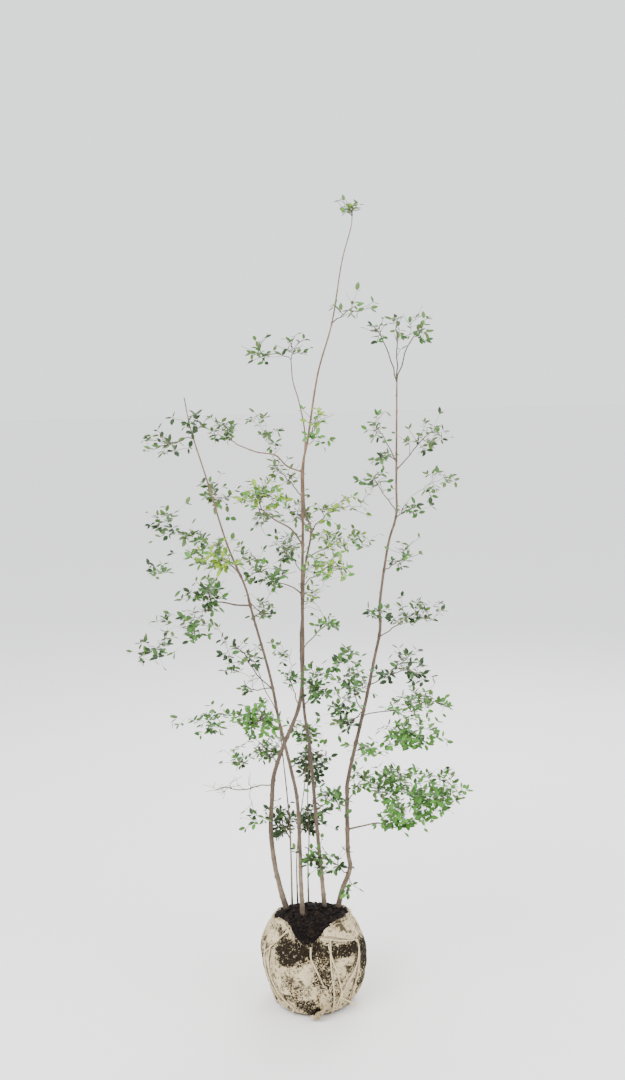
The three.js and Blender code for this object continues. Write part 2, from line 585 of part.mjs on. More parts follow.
// The rule of one mass: a twig to each space in turn, then twigs to points all through it,
// each from the nearest joint, and each ending in a whorl.
function growMass({ spaces, ...mass }, index, limbs) {
  const deep = spaces.map(([centre, [x, y, z], leaves]) => [deepened(centre), [x, y * DEPTH.halves, z], leaves]);
  const limb = limbs.get(mass.on);
  const random = randomStream(7919 * (index + 1));
  const foot = mass.tip ? limb.places.at(-1) : atHeight(limb.places, mass.height);
  const plant = { name: mass.name, limb: mass.on, joints: [], twigs: [], leaves: [] };
  const aim = vector(deep[0][0]).sub(foot.at).normalize();
  const way = mass.tip ? foot.way.clone() : aim;
  plant.joints.push({ at: foot.at.clone(), way, radius: Math.min(STALK.start, foot.radius), run: 0 });
  for (const space of deep) {
    const start = [random(), random(), random()];
    const centre = vector(space[0]);
    const outward = centre.clone().sub(foot.at).setZ(0).normalize();
    const onward = outward.clone().addScaledVector(UP, 0.35).normalize();
    const stalk = growTwig(plant, centre, onward, space[2] ? STALK : BARE_STALK);
    const whorls = Math.round(space[2] / LEAVES_PER_WHORL);
    if (stalk && space[2]) growWhorl(plant, stalk, random);
    const targets = Array.from({ length: space[2] ? whorls : BARE_TWIGS }, (_, i) => spacePoint(space, i, start));
    targets.sort((a, b) => a.distanceTo(foot.at) - b.distanceTo(foot.at));
    for (const target of targets) {
      const outer = target.clone().sub(centre).normalize();
      const endWay = outward.clone().addScaledVector(outer, 1).addScaledVector(UP, 1.2).normalize();
      const twig = growTwig(plant, target, endWay, space[2] ? TWIG : BARE_TWIG);
      if (twig && space[2]) growWhorl(plant, twig, random);
    }
  }
  return plant;
}

function atHeight(places, height) {
  const next = places.findIndex((place) => place.at.z >= height);
  const [low, high] = [places[next - 1], places[next]];
  const share = (height - low.at.z) / (high.at.z - low.at.z);
  return {
    at: low.at.clone().lerp(high.at, share),
    way: low.way.clone().lerp(high.way, share).normalize(),
    radius: blend(low.radius, high.radius, share),
  };
}

// A leaf is an octahedron drawn out into a thin pointed blade, widest short of its middle.
function leafSolid({ base, way, face, size }) {
  const geometry = new THREE.OctahedronGeometry(1);
  const position = geometry.attributes.position;
  const across = new THREE.Vector3().crossVectors(face, way);
  const [length, width, thickness] = [LEAF.length, LEAF.width, LEAF.thickness].map((x) => x * size);
  for (let i = 0; i < position.count; i++) {
    const [x, y, z] = [position.getX(i), position.getY(i), position.getZ(i)];
    const along = Math.abs(x) > 0.5 ? (x + 1) / 2 : LEAF.belly;
    const point = base.clone().addScaledVector(way, along * length)
      .addScaledVector(across, (y * width) / 2).addScaledVector(face, (z * thickness) / 2);
    position.setXYZ(i, point.x, point.y, point.z);
  }
  return solidFrom(geometry);
}

function massSolid(plant, limbs) {
  const twigs = plant.twigs.map((places) => bentCylinder(places, TWIG_SIDES));
  const joined = wasm.Manifold.union([...twigs, ...plant.leaves.map(leafSolid)]);
  return largestBody(solidFrom(geometryFrom(joined.subtract(limbs.get(plant.limb).swollen).simplify(0.05))));
}

// Assembly

const sapling = new THREE.Group();
sapling.name = "sapling_with_root_ball";

function addPart(name, solid, finish) {
  const [color, roughness] = COLOURS[finish];
  const mesh = new THREE.Mesh(geometryFrom(solid), new THREE.MeshStandardMaterial({ color, roughness, metalness: 0 }));
  mesh.name = name;
  sapling.add(mesh);
}

addPart("root_ball_soil", soilBall(GAP, [SOIL_LEVEL]), "soil");
addPart("burlap_wrap", burlapWrap(), "burlap");
addPart("binding_twine", twineLashing(), "twine");

const limbs = new Map();
for (const stem of STEMS) {
  const limb = { ...stem, foot: true, flare: FLARE.share };
  limb.route = [[stem.route[0][0], stem.route[0][1], SOIL_LEVEL + GAP], ...stem.route.slice(1).map(deepened)];
  const places = stations(limb);
  limbs.set(stem.name, { places, swollen: limbSolid(limb, GAP) });
  addStanding(places.map((p) => p.at), places.map((p) => p.radius), stem.name);
  addPart(stem.name, limbSolid(limb), "bark");
}
for (const bough of BOUGHS) {
  const limb = { ...bough, sides: BOUGH_SIDES, steps: BOUGH_STEPS };
  const route = bough.route.map(deepened);
  const joint = atHeight(limbs.get(bough.on).places, route[0][2]).at.toArray();
  limb.route = [joint, ...route.slice(1)];
  const places = stations(limb);
  limbs.set(bough.name, { places, swollen: limbSolid(limb, GAP) });
  addStanding(places.map((p) => p.at), places.map((p) => p.radius), bough.name);
  addPart(bough.name, largestBody(limbSolid(limb).subtract(limbs.get(bough.on).swollen)), "bark");
}
MASSES.forEach((mass, index) => {
  addPart(mass.name, massSolid(growMass(mass, index, limbs), limbs), "leaf");
});

export default sapling;
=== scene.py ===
"""A many-stemmed deciduous sapling, lifted for planting, that stands on its wrapped root ball.

The ball is soil in burlap lashed with twine. Four stems and three suckers rise from the soil, six
boughs leave the stems, and foliage grows on from the limbs by a seeded rule: twigs to points all
through each space, side shoots on the twigs, and leaves on both.
Places in the lists below are millimetres, +Z up and -Y the front.
"""

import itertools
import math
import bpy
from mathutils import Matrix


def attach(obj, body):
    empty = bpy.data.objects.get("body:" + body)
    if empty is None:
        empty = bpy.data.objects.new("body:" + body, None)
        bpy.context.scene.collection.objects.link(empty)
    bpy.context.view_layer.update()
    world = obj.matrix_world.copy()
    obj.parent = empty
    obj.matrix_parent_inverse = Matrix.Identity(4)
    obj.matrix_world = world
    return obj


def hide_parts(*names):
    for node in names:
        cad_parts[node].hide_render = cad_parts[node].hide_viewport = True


bl_info = {
    "name": "Sapling with Root Ball",
    "version": (1, 0, 0),
    "blender": (4, 5, 0),
    "location": "View3D > Sidebar > Sapling",
    "description": "Builds a many-stemmed sapling with leaves, bark, burlap, twine and soil",
    "category": "Add Mesh",
}

import bpy
import numpy as np
from mathutils import Matrix, Vector, kdtree, noise

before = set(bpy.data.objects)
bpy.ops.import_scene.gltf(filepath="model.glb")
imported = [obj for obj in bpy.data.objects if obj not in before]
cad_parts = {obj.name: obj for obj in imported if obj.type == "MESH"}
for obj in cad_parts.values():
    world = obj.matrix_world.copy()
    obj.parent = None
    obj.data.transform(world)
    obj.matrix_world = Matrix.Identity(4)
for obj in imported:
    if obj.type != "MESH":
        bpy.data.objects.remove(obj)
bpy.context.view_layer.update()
MM = 0.001
TURN = 2 * math.pi
UP = np.array([0.0, 0.0, 1.0])

# Root ball: height and radius of the wrap's outside, from the foot to the gathered rim, and the
# height at which the stems' routes start
BALL_PROFILE = [
    (0, 84), (10, 95), (35, 108), (70, 119), (105, 125), (140, 126), (172, 118), (200, 105),
    (222, 92), (240, 81),
]
FOOT_RADIUS, RIM_HEIGHT, SOIL_LEVEL = 84, 240, 236
# Heights of the cloth's rim and of the soil between the stems, and how far the soil falls outwards
CLOTH_TOP, SOIL_PEAK, SOIL_FALL = 228, 236, 17
# The gape in front: its bearing, width and depth, and the height where the cloth starts to sag
GAPE_BEARING, GAPE_WIDTH, GAPE_DEPTH, GAPE_FROM = -1.75, 0.42, 36, 150

# Stems and suckers: name, radius at the foot and the tip, and route
STEMS = [
    ("stem_left_foot", (6.3, 1.1), [
        (-61, 0, 236), (-78, 0, 290), (-90, 0, 356), (-96, 0, 437), (-91, 0, 513), (-84, 0, 576),
        (-58, 0, 650), (-18, -2, 748), (-6, -6, 860), (-3, -10, 1030), (3, -12, 1173),
        (5, -10, 1310), (21, -5, 1389), (48, 5, 1537), (84, 10, 1654), (110, 16, 1790),
        (133, 20, 1868), (137, 21, 1895),
    ]),
    ("stem_front", (5.3, 1.2), [
        (-23, -38, 236), (-26, -36, 323), (-26, -34, 398), (-29, -32, 522), (-44, -30, 609),
        (-67, -32, 721), (-85, -36, 832), (-122, -44, 987), (-136, -48, 1049), (-174, -54, 1150),
        (-212, -60, 1292), (-246, -63, 1415), (-259, -64, 1490),
    ]),
    ("stem_middle", (5.2, 1.2), [
        (31, -8, 236), (24, 0, 332), (17, 5, 432), (5, 18, 628), (-7, 25, 736), (-10, 30, 894),
        (-2, 32, 984), (4, 32, 1072), (22, 32, 1163), (9, 35, 1215), (8, 36, 1300), (14, 36, 1395),
        (2, 36, 1473), (-11, 36, 1522), (-14, 36, 1572),
    ]),
    ("stem_right", (5.8, 1.9), [
        (60, 0, 236), (74, 0, 279), (95, 4, 333), (91, 6, 379), (92, 12, 504), (98, 15, 566),
        (144, 24, 749), (166, 28, 847), (182, 30, 920), (184, 32, 993), (206, 36, 1126),
        (227, 38, 1198), (229, 40, 1281), (235, 45, 1513),
    ]),
    ("sucker_left", (2.3, 1.0), [
        (-50, 16, 236), (-50, 18, 427), (-60, 22, 593), (-73, 25, 718), (-100, 28, 780),
        (-118, 30, 837),
    ]),
    ("sucker_middle", (1.9, 1.0), [
        (-37, 38, 236), (-36, 40, 343), (-25, 42, 445), (-13, 44, 521), (-6, 46, 597),
    ]),
    ("sucker_back", (2.0, 1.0), [
        (-10, 26, 236), (-8, 32, 341), (-4, 40, 399), (-5, 50, 490), (2, 52, 633),
    ]),
]

# Boughs: name, the stem each leaves, radii and route
BOUGHS = [
    ("bough_high_left", "stem_left_foot", (2.0, 1.3), [
        (5, -10, 1310), (-30, -10, 1325), (-57, -8, 1351), (-102, -5, 1360), (-148, 0, 1379),
    ]),
    ("bough_upper_left", "stem_left_foot", (2.2, 1.5), [
        (2, -12, 1138), (-25, -16, 1177), (-62, -20, 1200), (-91, -24, 1225),
    ]),
    ("bough_middle_left", "stem_left_foot", (1.9, 1.3), [
        (-3, -10, 1020), (-22, -14, 1036), (-43, -17, 1046), (-60, -20, 1051),
    ]),
    ("bough_far_left", "stem_front", (2.2, 1.5), [
        (-127, -46, 1002), (-158, -48, 1005), (-191, -50, 1013), (-212, -52, 1012),
    ]),
    ("bough_front_left", "stem_front", (2.0, 1.4), [
        (-146, -50, 1074), (-160, -60, 1096), (-177, -70, 1110),
    ]),
    ("bough_low_right", "stem_right", (2.4, 1.5), [
        (91, 8, 430), (127, 0, 441), (166, -5, 449), (202, -10, 440),
    ]),
]

# How fresh the leaves of a space are, and the slot of their undersides
DARK, MID, FRESH, BRIGHT, UNDER = range(5)

# Foliage: name, the limb it grows on from, the height where it leaves it (none: the limb's tip),
# and its spaces: centre, half sizes, how many leaves show there, and how fresh they are
MASSES = [
    ("right_top", "stem_right", None, [
        (180, 20, 1645, 30, 30, 35, 10, MID), (240, 70, 1660, 25, 35, 30, 12, MID),
        (300, 45, 1645, 50, 45, 40, 26, MID)]),
    ("right_upper_left", "stem_right", 1322, [
        (180, -10, 1415, 40, 50, 35, 18, MID), (195, 90, 1335, 35, 45, 20, 14, MID)]),
    ("right_upper", "stem_right", 1300, [(320, 60, 1395, 75, 65, 35, 40, DARK)]),
    ("right_far", "stem_right", 1183, [
        (270, -5, 1225, 35, 45, 30, 16, MID), (340, 20, 1285, 50, 60, 30, 24, MID)]),
    ("right_inward", "stem_right", 1198, [(170, -20, 1290, 50, 60, 20, 18, MID)]),
    ("right_front", "stem_right", 1054, [(245, -40, 1110, 30, 50, 40, 20, MID)]),
    ("right_middle", "stem_right", 891, [(280, 40, 965, 80, 75, 40, 60, DARK)]),
    ("right_twig", "stem_right", 935, [(158, -15, 975, 30, 40, 15, 12, MID)]),
    ("right_low_front", "stem_right", 774, [(245, -35, 840, 75, 70, 45, 56, DARK)]),
    ("right_low_back", "stem_right", 700, [(295, 60, 735, 75, 75, 30, 70, FRESH)]),
    ("right_low", "stem_right", 639, [
        (150, -40, 640, 30, 35, 20, 12, FRESH), (255, -30, 680, 75, 75, 40, 90, FRESH)]),
    ("right_deep", "stem_right", 493, [
        (135, 40, 550, 35, 40, 25, 18, FRESH), (225, 65, 530, 65, 60, 50, 90, FRESH)]),
    ("right_outer", "bough_low_right", None, [
        (215, -45, 475, 50, 50, 20, 45, FRESH), (312, -15, 530, 75, 80, 55, 140, FRESH)]),
    ("right_foot", "stem_right", 320, [
        (95, -20, 300, 20, 20, 20, 5, MID), (65, -35, 355, 20, 25, 15, 8, MID)]),
    ("middle_tuft", "stem_middle", 862, [
        (60, -5, 950, 20, 35, 35, 18, FRESH), (24, 55, 1015, 20, 30, 25, 16, BRIGHT)]),
    ("middle_right", "stem_right", 713, [
        (90, 30, 690, 25, 35, 30, 18, MID), (80, -25, 745, 25, 30, 20, 16, MID),
        (110, 35, 790, 40, 45, 25, 30, MID), (100, -40, 865, 50, 50, 35, 56, MID)]),
    ("middle_low", "stem_middle", 724, [(32, -25, 805, 30, 45, 45, 62, MID)]),
    ("sucker_back", "sucker_back", None, [
        (-5, 50, 670, 35, 40, 30, 36, FRESH), (8, 80, 570, 40, 40, 50, 84, DARK)]),
    ("middle_foot", "stem_middle", 477, [(60, -20, 520, 25, 35, 30, 26, MID)]),
    ("sucker_left", "sucker_left", 404, [(-72, 30, 450, 30, 40, 45, 48, DARK)]),
    ("sucker_middle", "sucker_middle", 392, [(2, 70, 438, 35, 40, 40, 60, DARK)]),
    ("middle_base", "stem_middle", 327, [(15, -35, 375, 20, 30, 30, 24, MID)]),
    ("left_low", "stem_front", 716, [
        (-120, -60, 735, 65, 65, 40, 90, FRESH), (-255, -30, 725, 70, 55, 40, 36, MID)]),
    ("left_low_back", "stem_left_foot", 606, [
        (-105, 45, 630, 35, 40, 30, 28, MID), (-175, 35, 610, 25, 40, 40, 16, MID)]),
    ("left_bare", "stem_left_foot", 551, [
        (-210, 10, 545, 70, 40, 20, 0, MID), (-135, -25, 465, 20, 25, 15, 5, MID)]),
    ("left_middle", "stem_front", 815, [
        (-145, -10, 800, 45, 45, 45, 12, MID), (-165, -50, 905, 55, 55, 40, 36, DARK)]),
    ("centre_low", "stem_left_foot", 746, [
        (-40, 40, 805, 20, 30, 30, 12, MID), (-60, 35, 890, 20, 30, 25, 10, MID)]),
    ("left_inner", "stem_front", 1028, [
        (-95, -5, 985, 25, 35, 30, 22, MID), (-125, -5, 1105, 30, 40, 45, 30, MID)]),
    ("left_upper", "bough_front_left", None, [
        (-200, -70, 1120, 70, 65, 30, 70, BRIGHT), (-230, -20, 1155, 45, 50, 20, 30, MID),
        (-320, -50, 1205, 55, 55, 30, 50, DARK), (-350, -10, 1085, 30, 40, 30, 16, MID)]),
    ("left_far", "bough_far_left", None, [
        (-225, -50, 1040, 55, 65, 35, 60, MID), (-255, -60, 960, 65, 65, 50, 60, MID),
        (-365, -40, 895, 50, 50, 30, 34, DARK), (-355, 10, 960, 35, 40, 20, 10, DARK)]),
    ("centre_left", "bough_middle_left", None, [(-80, -40, 1072, 60, 55, 28, 50, MID)]),
    ("upper_left", "bough_upper_left", None, [
        (-75, 20, 1200, 50, 50, 20, 30, MID), (-90, -40, 1262, 60, 60, 30, 70, BRIGHT),
        (-205, -10, 1258, 60, 60, 35, 50, MID)]),
    ("upper_back", "stem_left_foot", 1255, [
        (-55, 30, 1318, 40, 45, 30, 22, MID), (-85, 45, 1435, 50, 50, 35, 34, MID)]),
    ("centre_back", "stem_middle", 1050, [(-45, 75, 1125, 45, 50, 40, 60, DARK)]),
    ("centre_upper", "stem_middle", 1149, [
        (-10, 80, 1210, 35, 40, 45, 40, MID), (95, 10, 1228, 65, 60, 25, 36, BRIGHT)]),
    ("centre_right", "stem_middle", 1091, [
        (90, 70, 1140, 65, 55, 28, 54, BRIGHT), (165, 95, 1130, 35, 35, 25, 10, FRESH)]),
    ("centre_front", "stem_left_foot", 1045, [(62, -62, 1093, 65, 55, 30, 60, BRIGHT)]),
    ("high_left", "bough_high_left", None, [(-180, 5, 1415, 50, 50, 35, 38, MID)]),
    ("high", "stem_left_foot", 1377, [
        (45, -30, 1440, 20, 25, 30, 16, BRIGHT), (40, -55, 1395, 35, 35, 20, 14, FRESH)]),
    ("left_leader", "stem_middle", None, [
        (0, 50, 1600, 35, 40, 30, 18, MID), (-90, 20, 1590, 40, 45, 35, 24, MID)]),
    ("leader_side", "stem_left_foot", 1654, [(140, 0, 1690, 50, 45, 20, 16, FRESH)]),
    ("leader_top", "stem_left_foot", None, [(134, 23, 1911, 18, 22, 18, 12, BRIGHT)]),
    ("left_top", "stem_front", 1401, [
        (-236, -84, 1440, 30, 40, 35, 22, DARK), (-325, -50, 1382, 65, 55, 32, 30, DARK)]),
]

# Depths above are shallow. Each place moves along the line of sight to its real depth.
EYE = np.array([25.0, -2850.0, 1500.0])
DEPTH_GAIN, DEPTH_FROM, DEPTH_FULL, DEPTH_HALVES = 3, 250, 800, 1.6

# The root flare, how far a stem's foot is sunk in the soil, the collar where a twig leaves a limb,
# and the steps between two places of a route
FLARE_SHARE, FLARE_HEIGHT, FOOT_SUNK, TWIG_COLLAR, CURVE_STEPS = 0.4, 34, 14, 1.4, 40
# How long the ridges and the grain of the bark are along a limb
RIDGE_RUN, GRAIN_RUN = 26, 7
# The room that twigs keep from others, how much of its space a mass fills, and how much fuller the
# lowest masses are
CLEAR, SPACE_FILL = 0.5, 0.86
FULLER, FULL_BELOW, FULL_FROM = 0.7, 600, 900
# Steps that spread any number of points evenly through a space
SPREAD = (0.8191725133961645, 0.6710436067037893, 0.5497004779019703)
# Kinds of twig: radius at its start and end, and how many pieces it bends in
STALK = {"start": 1.7, "end": 1.15, "steps": 9}
TWIG = {"start": 1.25, "end": 0.75, "steps": 6}
SHOOT = {"start": 0.8, "end": 0.55, "steps": 4}
# The ways a twig may bow to pass what stands in its way, as shares of its length
BOWS = np.array([
    (0, 0, 0), (0, 0, 0.12), (0, 0.14, 0), (0, -0.14, 0), (0, 0, -0.12), (0.12, 0, 0.1),
    (-0.12, 0, 0.1),
])
# How many joints are tried for a twig, the shortest twig, and the twigs of a space without leaves
JOINTS_TRIED, TWIG_LEAST, BARE_TWIGS = 6, 4, 12
# A leaf's reach, the room it keeps on either side, and how strongly it's turned level
LEAF_REACH, LEAF_HALF, LEAF_LEVEL = 20.5, 3.2, 1.25
# Where along a twig its side leaves and side shoots can stand, and how often one does
LEAF_STANDS, LEAF_CHANCE = (0.5, 0.68, 0.84), 0.5
SHOOT_STANDS, SHOOT_CHANCE = (0.35, 0.6, 0.8), 0.55
# A side shoot's least length, how much more it can be, and how often it carries leaves
SHOOT_LEAST, SHOOT_MORE, SHOOT_LEAFY = 14, 34, 0.66


def tint(code):
    """The linear colour of a six-figure sRGB code."""
    parts = [((code >> shift) & 255) / 255 for shift in (16, 8, 0)]
    return tuple(c / 12.92 if c < 0.04045 else ((c + 0.055) / 1.055) ** 2.4 for c in parts)


# Settings


def length_setting(words, default):
    return bpy.props.FloatProperty(name=words, description=words, default=default, unit="LENGTH")


def angle_setting(words, default):
    return bpy.props.FloatProperty(name=words, description=words, default=default, unit="ROTATION")


def share_setting(words, default):
    return bpy.props.FloatProperty(name=words, description=words, default=default, min=0.0)


def colour_setting(words, code):
    return bpy.props.FloatVectorProperty(
        name=words, description=words, default=tint(code), subtype="COLOR", size=3, min=0, max=1
    )


class SaplingBallSettings(bpy.types.PropertyGroup):
    """Sizes and colours of the soil, burlap and twine."""

    cloth_thickness: length_setting("Thickness of the burlap", 0.0014)
    cloth_bulge: length_setting("Bulge of the burlap between the strands", 0.0042)
    crease: length_setting("Depth of the creases in the burlap", 0.0042)
    twine_radius: length_setting("Radius of the twine", 0.0017)
    soil_rise: length_setting("Rise of the soil between the stems", 0.007)
    crumbs: bpy.props.IntProperty(name="Crumbs", description="Crumbs of soil", default=1300, min=0)
    soil: colour_setting("Moist soil", 0x130E0C)
    soil_dry: colour_setting("Drier soil", 0x3A2E27)
    cloth: colour_setting("Clean burlap", 0xE3D2AC)
    # Worn burlap; dimmed, it is also the painted shade in the gaps of the weave
    cloth_shade: colour_setting("Worn burlap", 0xA58A60)
    # Also the colour of the burlap's painted shade and shadows, in its creases, beside the twine and
    # under the right flap
    stain_and_shade: colour_setting("Soil soaked into the burlap", 0x120D0D)
    twine: colour_setting("Twine", 0xE2D3AE)
    twine_shade: colour_setting("Shaded fibres of the twine", 0x9A8765)


class SaplingLimbSettings(bpy.types.PropertyGroup):
    """Relief and colours of the bark."""

    relief: share_setting("Depth of the bark's relief, as a share of the radius", 0.07)
    ring_spacing: length_setting("Height between the bud rings on a stem", 0.062)
    bark: colour_setting("Bark", 0x6A5746)
    bark_dark: colour_setting("Dark bark", 0x33281F)
    bark_pale: colour_setting("Pale bark at the feet", 0xA39073)
    bark_warm: colour_setting("Warm bark high on the stems", 0x876749)
    twig: colour_setting("Twigs", 0x4E3A30)
    twig_green: colour_setting("Young green twigs", 0x7A7B4A)


class SaplingFoliageSettings(bpy.types.PropertyGroup):
    """Sizes, number and colours of the leaves."""

    leaf_length: length_setting("Length of a full leaf", 0.0205)
    leaf_width: length_setting("Width of a full leaf", 0.0098)
    leaf_thickness: length_setting("Thickness of a leaf", 0.0003)
    leaves_per_twig: share_setting("Listed leaves that one twig stands for", 3.7)
    dark: colour_setting("Dark leaves", 0x253F1A)
    mid: colour_setting("Mid green leaves", 0x3B6524)
    fresh: colour_setting("Fresh green leaves", 0x4C842A)
    bright: colour_setting("Bright yellow-green leaves", 0x7E9F1E)
    under: colour_setting("Undersides", 0x5C7C38)


class SaplingStageSettings(bpy.types.PropertyGroup):
    """Camera, floor and lights."""

    eye: bpy.props.FloatVectorProperty(
        name="Camera", description="Place of the camera", default=(0.025, -2.85, 1.5),
        subtype="XYZ", unit="LENGTH",
    )
    pitch: angle_setting("How far the camera looks down", math.radians(7.05))
    roll: angle_setting("Turn of the camera about its view", math.atan(0.0275))
    lens: share_setting("Focal length in millimetres", 40.4)
    floor: colour_setting("Floor", 0xFAF9F7)
    key: share_setting("Power of the main light, in watts", 170)
    sky: share_setting("Strength of the studio's own light", 1.7)


# Plain sums


def blend(a, b, share):
    return a + (b - a) * share


def smooth(low, high, x):
    t = np.clip((x - low) / (high - low), 0, 1)
    return t * t * (3 - 2 * t)


def hump(x, wide):
    """1 in the middle, and soon 0 past that width."""
    return np.exp(-((x / wide) ** 2))


def wrapped(angle):
    """The same angle from minus half a turn to half a turn."""
    return np.arctan2(np.sin(angle), np.cos(angle))


def unit(v):
    return v / max(np.linalg.norm(v), 1e-9)


def units(v):
    return v / np.maximum(np.linalg.norm(v, axis=-1, keepdims=True), 1e-9)


def ways_along(points):
    return units(np.gradient(points, axis=0))


def rows_of(*columns):
    return np.stack(columns, axis=1)


def run_along(points):
    """How far each point is from the first, along them all."""
    return np.concatenate([[0], np.cumsum(np.linalg.norm(np.diff(points, axis=0), axis=1))])


def cloud(points, size, seed=0.0, shift=(7.31, 3.17, 5.71)):
    """Smooth noise from -1 to 1 at each place, with lumps of about that size."""
    shift = Vector([seed * part for part in shift])
    return np.array([noise.noise(Vector(p) / size + shift) for p in points])


def random_stream(seed):
    """Even random numbers from 0 to 1 that are the same on every run."""
    state = seed & 0xFFFFFFFF

    def draw():
        nonlocal state
        state = (state + 0x6D2B79F5) & 0xFFFFFFFF
        mixed = ((state ^ (state >> 15)) * (state | 1)) & 0xFFFFFFFF
        mixed ^= (mixed + ((mixed ^ (mixed >> 7)) * (mixed | 61))) & 0xFFFFFFFF
        return ((mixed ^ (mixed >> 14)) & 0xFFFFFFFF) / 4294967296

    return draw


def deepened(place):
    """A listed place moved along the line of sight to its real depth."""
    _, y, z = place
    gain = blend(1, DEPTH_GAIN, smooth(DEPTH_FROM, DEPTH_FULL, z))
    share = (y * gain - EYE[1]) / (y - EYE[1])
    return EYE + (np.array(place, float) - EYE) * share


# Meshes from arrays


class Heap:
    """Collects many small shapes that become one joined mesh."""

    def __init__(self):
        self.points, self.faces, self.uvs, self.slots, self.count = [], [], [], [], 0

    def add(self, points, *parts):
        """Adds one shape's points, and its parts: faces, their UVs and their slot or slots."""
        for faces, uvs, slots in parts:
            self.faces.append(faces + self.count)
            self.uvs.append(uvs.reshape(-1, 2))
            self.slots.append(np.zeros(len(faces), int) + slots)
        self.points.append(points)
        self.count += len(points)

    def build(self, name, *materials):
        mesh = bpy.data.meshes.new(name)
        corners = np.concatenate([f.ravel() for f in self.faces])
        totals = np.concatenate([np.full(len(f), f.shape[1]) for f in self.faces])
        mesh.vertices.add(self.count)
        mesh.vertices.foreach_set("co", (np.concatenate(self.points) * MM).ravel())
        mesh.loops.add(len(corners))
        mesh.loops.foreach_set("vertex_index", corners)
        mesh.polygons.add(len(totals))
        mesh.polygons.foreach_set("loop_start", np.cumsum(totals) - totals)
        mesh.polygons.foreach_set("material_index", np.concatenate(self.slots))
        mesh.uv_layers.new(name="UVMap").data.foreach_set("uv", np.concatenate(self.uvs).ravel())
        for material in materials:
            mesh.materials.append(material)
        mesh.update(calc_edges=True)
        if mesh.validate():
            raise RuntimeError(f"{name} has faces that aren't sound")
        piece = bpy.data.objects.new(name, mesh)
        bpy.context.collection.objects.link(piece)
        return piece


def rings(way):
    """Two directions square to the way at each station, carried along without twist."""
    side = np.zeros_like(way)
    first = np.array([1.0, 0, 0]) if abs(way[0][0]) < 0.8 else np.array([0, 1.0, 0])
    side[0] = unit(first - way[0] * (first @ way[0]))
    for k in range(1, len(way)):
        side[k] = unit(side[k - 1] - way[k] * (side[k - 1] @ way[k]))
    return side, np.cross(way, side)


def square_to(way):
    """Two directions square to one way."""
    return (row[0] for row in rings(way[None]))


def add_tube(heap, at, way, radius, sides):
    """A closed tube through the stations. The radius is one number or a row of them a station."""
    side, spin = rings(way)
    turn = np.arange(sides) / sides * TURN
    radius = np.asarray(radius, float)
    spread = np.repeat(radius[:, None], sides, axis=1) if radius.ndim == 1 else radius
    out = side[:, None] * np.cos(turn)[None, :, None] + spin[:, None] * np.sin(turn)[None, :, None]
    skin = (at[:, None] + out * spread[..., None]).reshape(-1, 3)
    low = at[0] - way[0] * spread[0].mean() * 0.3
    high = at[-1] + way[-1] * spread[-1].mean() * 0.9
    i, j = (index.ravel() for index in np.indices((len(at) - 1, sides)))
    k = (j + 1) % sides
    quads = rows_of(i * sides + j, i * sides + k, (i + 1) * sides + k, (i + 1) * sides + j)
    run = run_along(at) * MM
    across = rows_of(j, j + 1, j + 1, j) / sides
    quad_uvs = np.stack([across, run[rows_of(i, i, i + 1, i + 1)]], axis=2)
    j, foot = np.arange(sides), np.full(sides, len(skin))
    k, last = (j + 1) % sides, len(skin) - sides
    caps = np.concatenate([rows_of(foot, k, j), rows_of(foot + 1, last + j, last + k)])
    across = np.concatenate([rows_of(j + 0.5, j + 1, j), rows_of(j + 0.5, j, j + 1)]) / sides
    cap_uvs = np.stack([across, np.repeat(run[[0, -1]], sides * 3).reshape(-1, 3)], axis=2)
    heap.add(np.vstack([skin, low, high]), (quads, quad_uvs, 0), (caps, cap_uvs, 0))


def add_hoop(heap, centre, side, spin, reach, radius, stations, sides):
    """A ring of cord about a centre, in the plane of two directions."""
    around = np.linspace(0, TURN, stations)[:, None]
    hoop = centre + (np.cos(around) * side + np.sin(around) * spin) * reach
    add_tube(heap, hoop, ways_along(hoop), np.full(stations, radius), sides)


def ready(piece, slot, *nodes):
    """Sets a finished piece to ride with the plant, in place of the frame's nodes."""
    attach(piece, "root")
    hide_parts(*nodes)


def pick_only(piece):
    """Leaves one object selected and active."""
    bpy.ops.object.select_all(action="DESELECT")
    piece.select_set(True)
    bpy.context.view_layer.objects.active = piece


def shade_by_angle(piece, degrees):
    pick_only(piece)
    bpy.ops.object.shade_smooth_by_angle(angle=math.radians(degrees))


def points_of(mesh):
    values = np.zeros(len(mesh.vertices) * 3)
    mesh.vertices.foreach_get("co", values)
    return values.reshape(-1, 3)


# Limbs


def smooth_route(points, spacing):
    """Evenly spaced places, ways and distances along a smooth curve through the points."""
    points = np.array(points, float)
    ghost = np.vstack([2 * points[0] - points[1], points, 2 * points[-1] - points[-2]])
    fine = []
    shares = np.linspace(0, 1, CURVE_STEPS, endpoint=False)[:, None]
    for k in range(len(points) - 1):
        p0, p1, p2, p3 = ghost[k:k + 4]
        t0, t1 = (p2 - p0) / 2, (p3 - p1) / 2
        fine.append(
            p1 + t0 * shares + (3 * (p2 - p1) - 2 * t0 - t1) * shares**2
            + (2 * (p1 - p2) + t0 + t1) * shares**3
        )
    fine = np.vstack(fine + [points[-1:]])
    run = run_along(fine)
    even = np.linspace(0, run[-1], max(3, int(round(run[-1] / spacing)) + 1))
    at = np.stack([np.interp(even, run, fine[:, axis]) for axis in range(3)], axis=1)
    return at, ways_along(at), even


def make_limb(name, route, radii, flare, spacing=4.0):
    at, way, run = smooth_route(route, spacing)
    share = run / run[-1]
    radius = blend(radii[0], radii[1], share**0.9) * (1 + flare * np.exp(-run / FLARE_HEIGHT))
    return {"name": name, "at": at, "way": way, "run": run, "radius": radius, "collars": []}


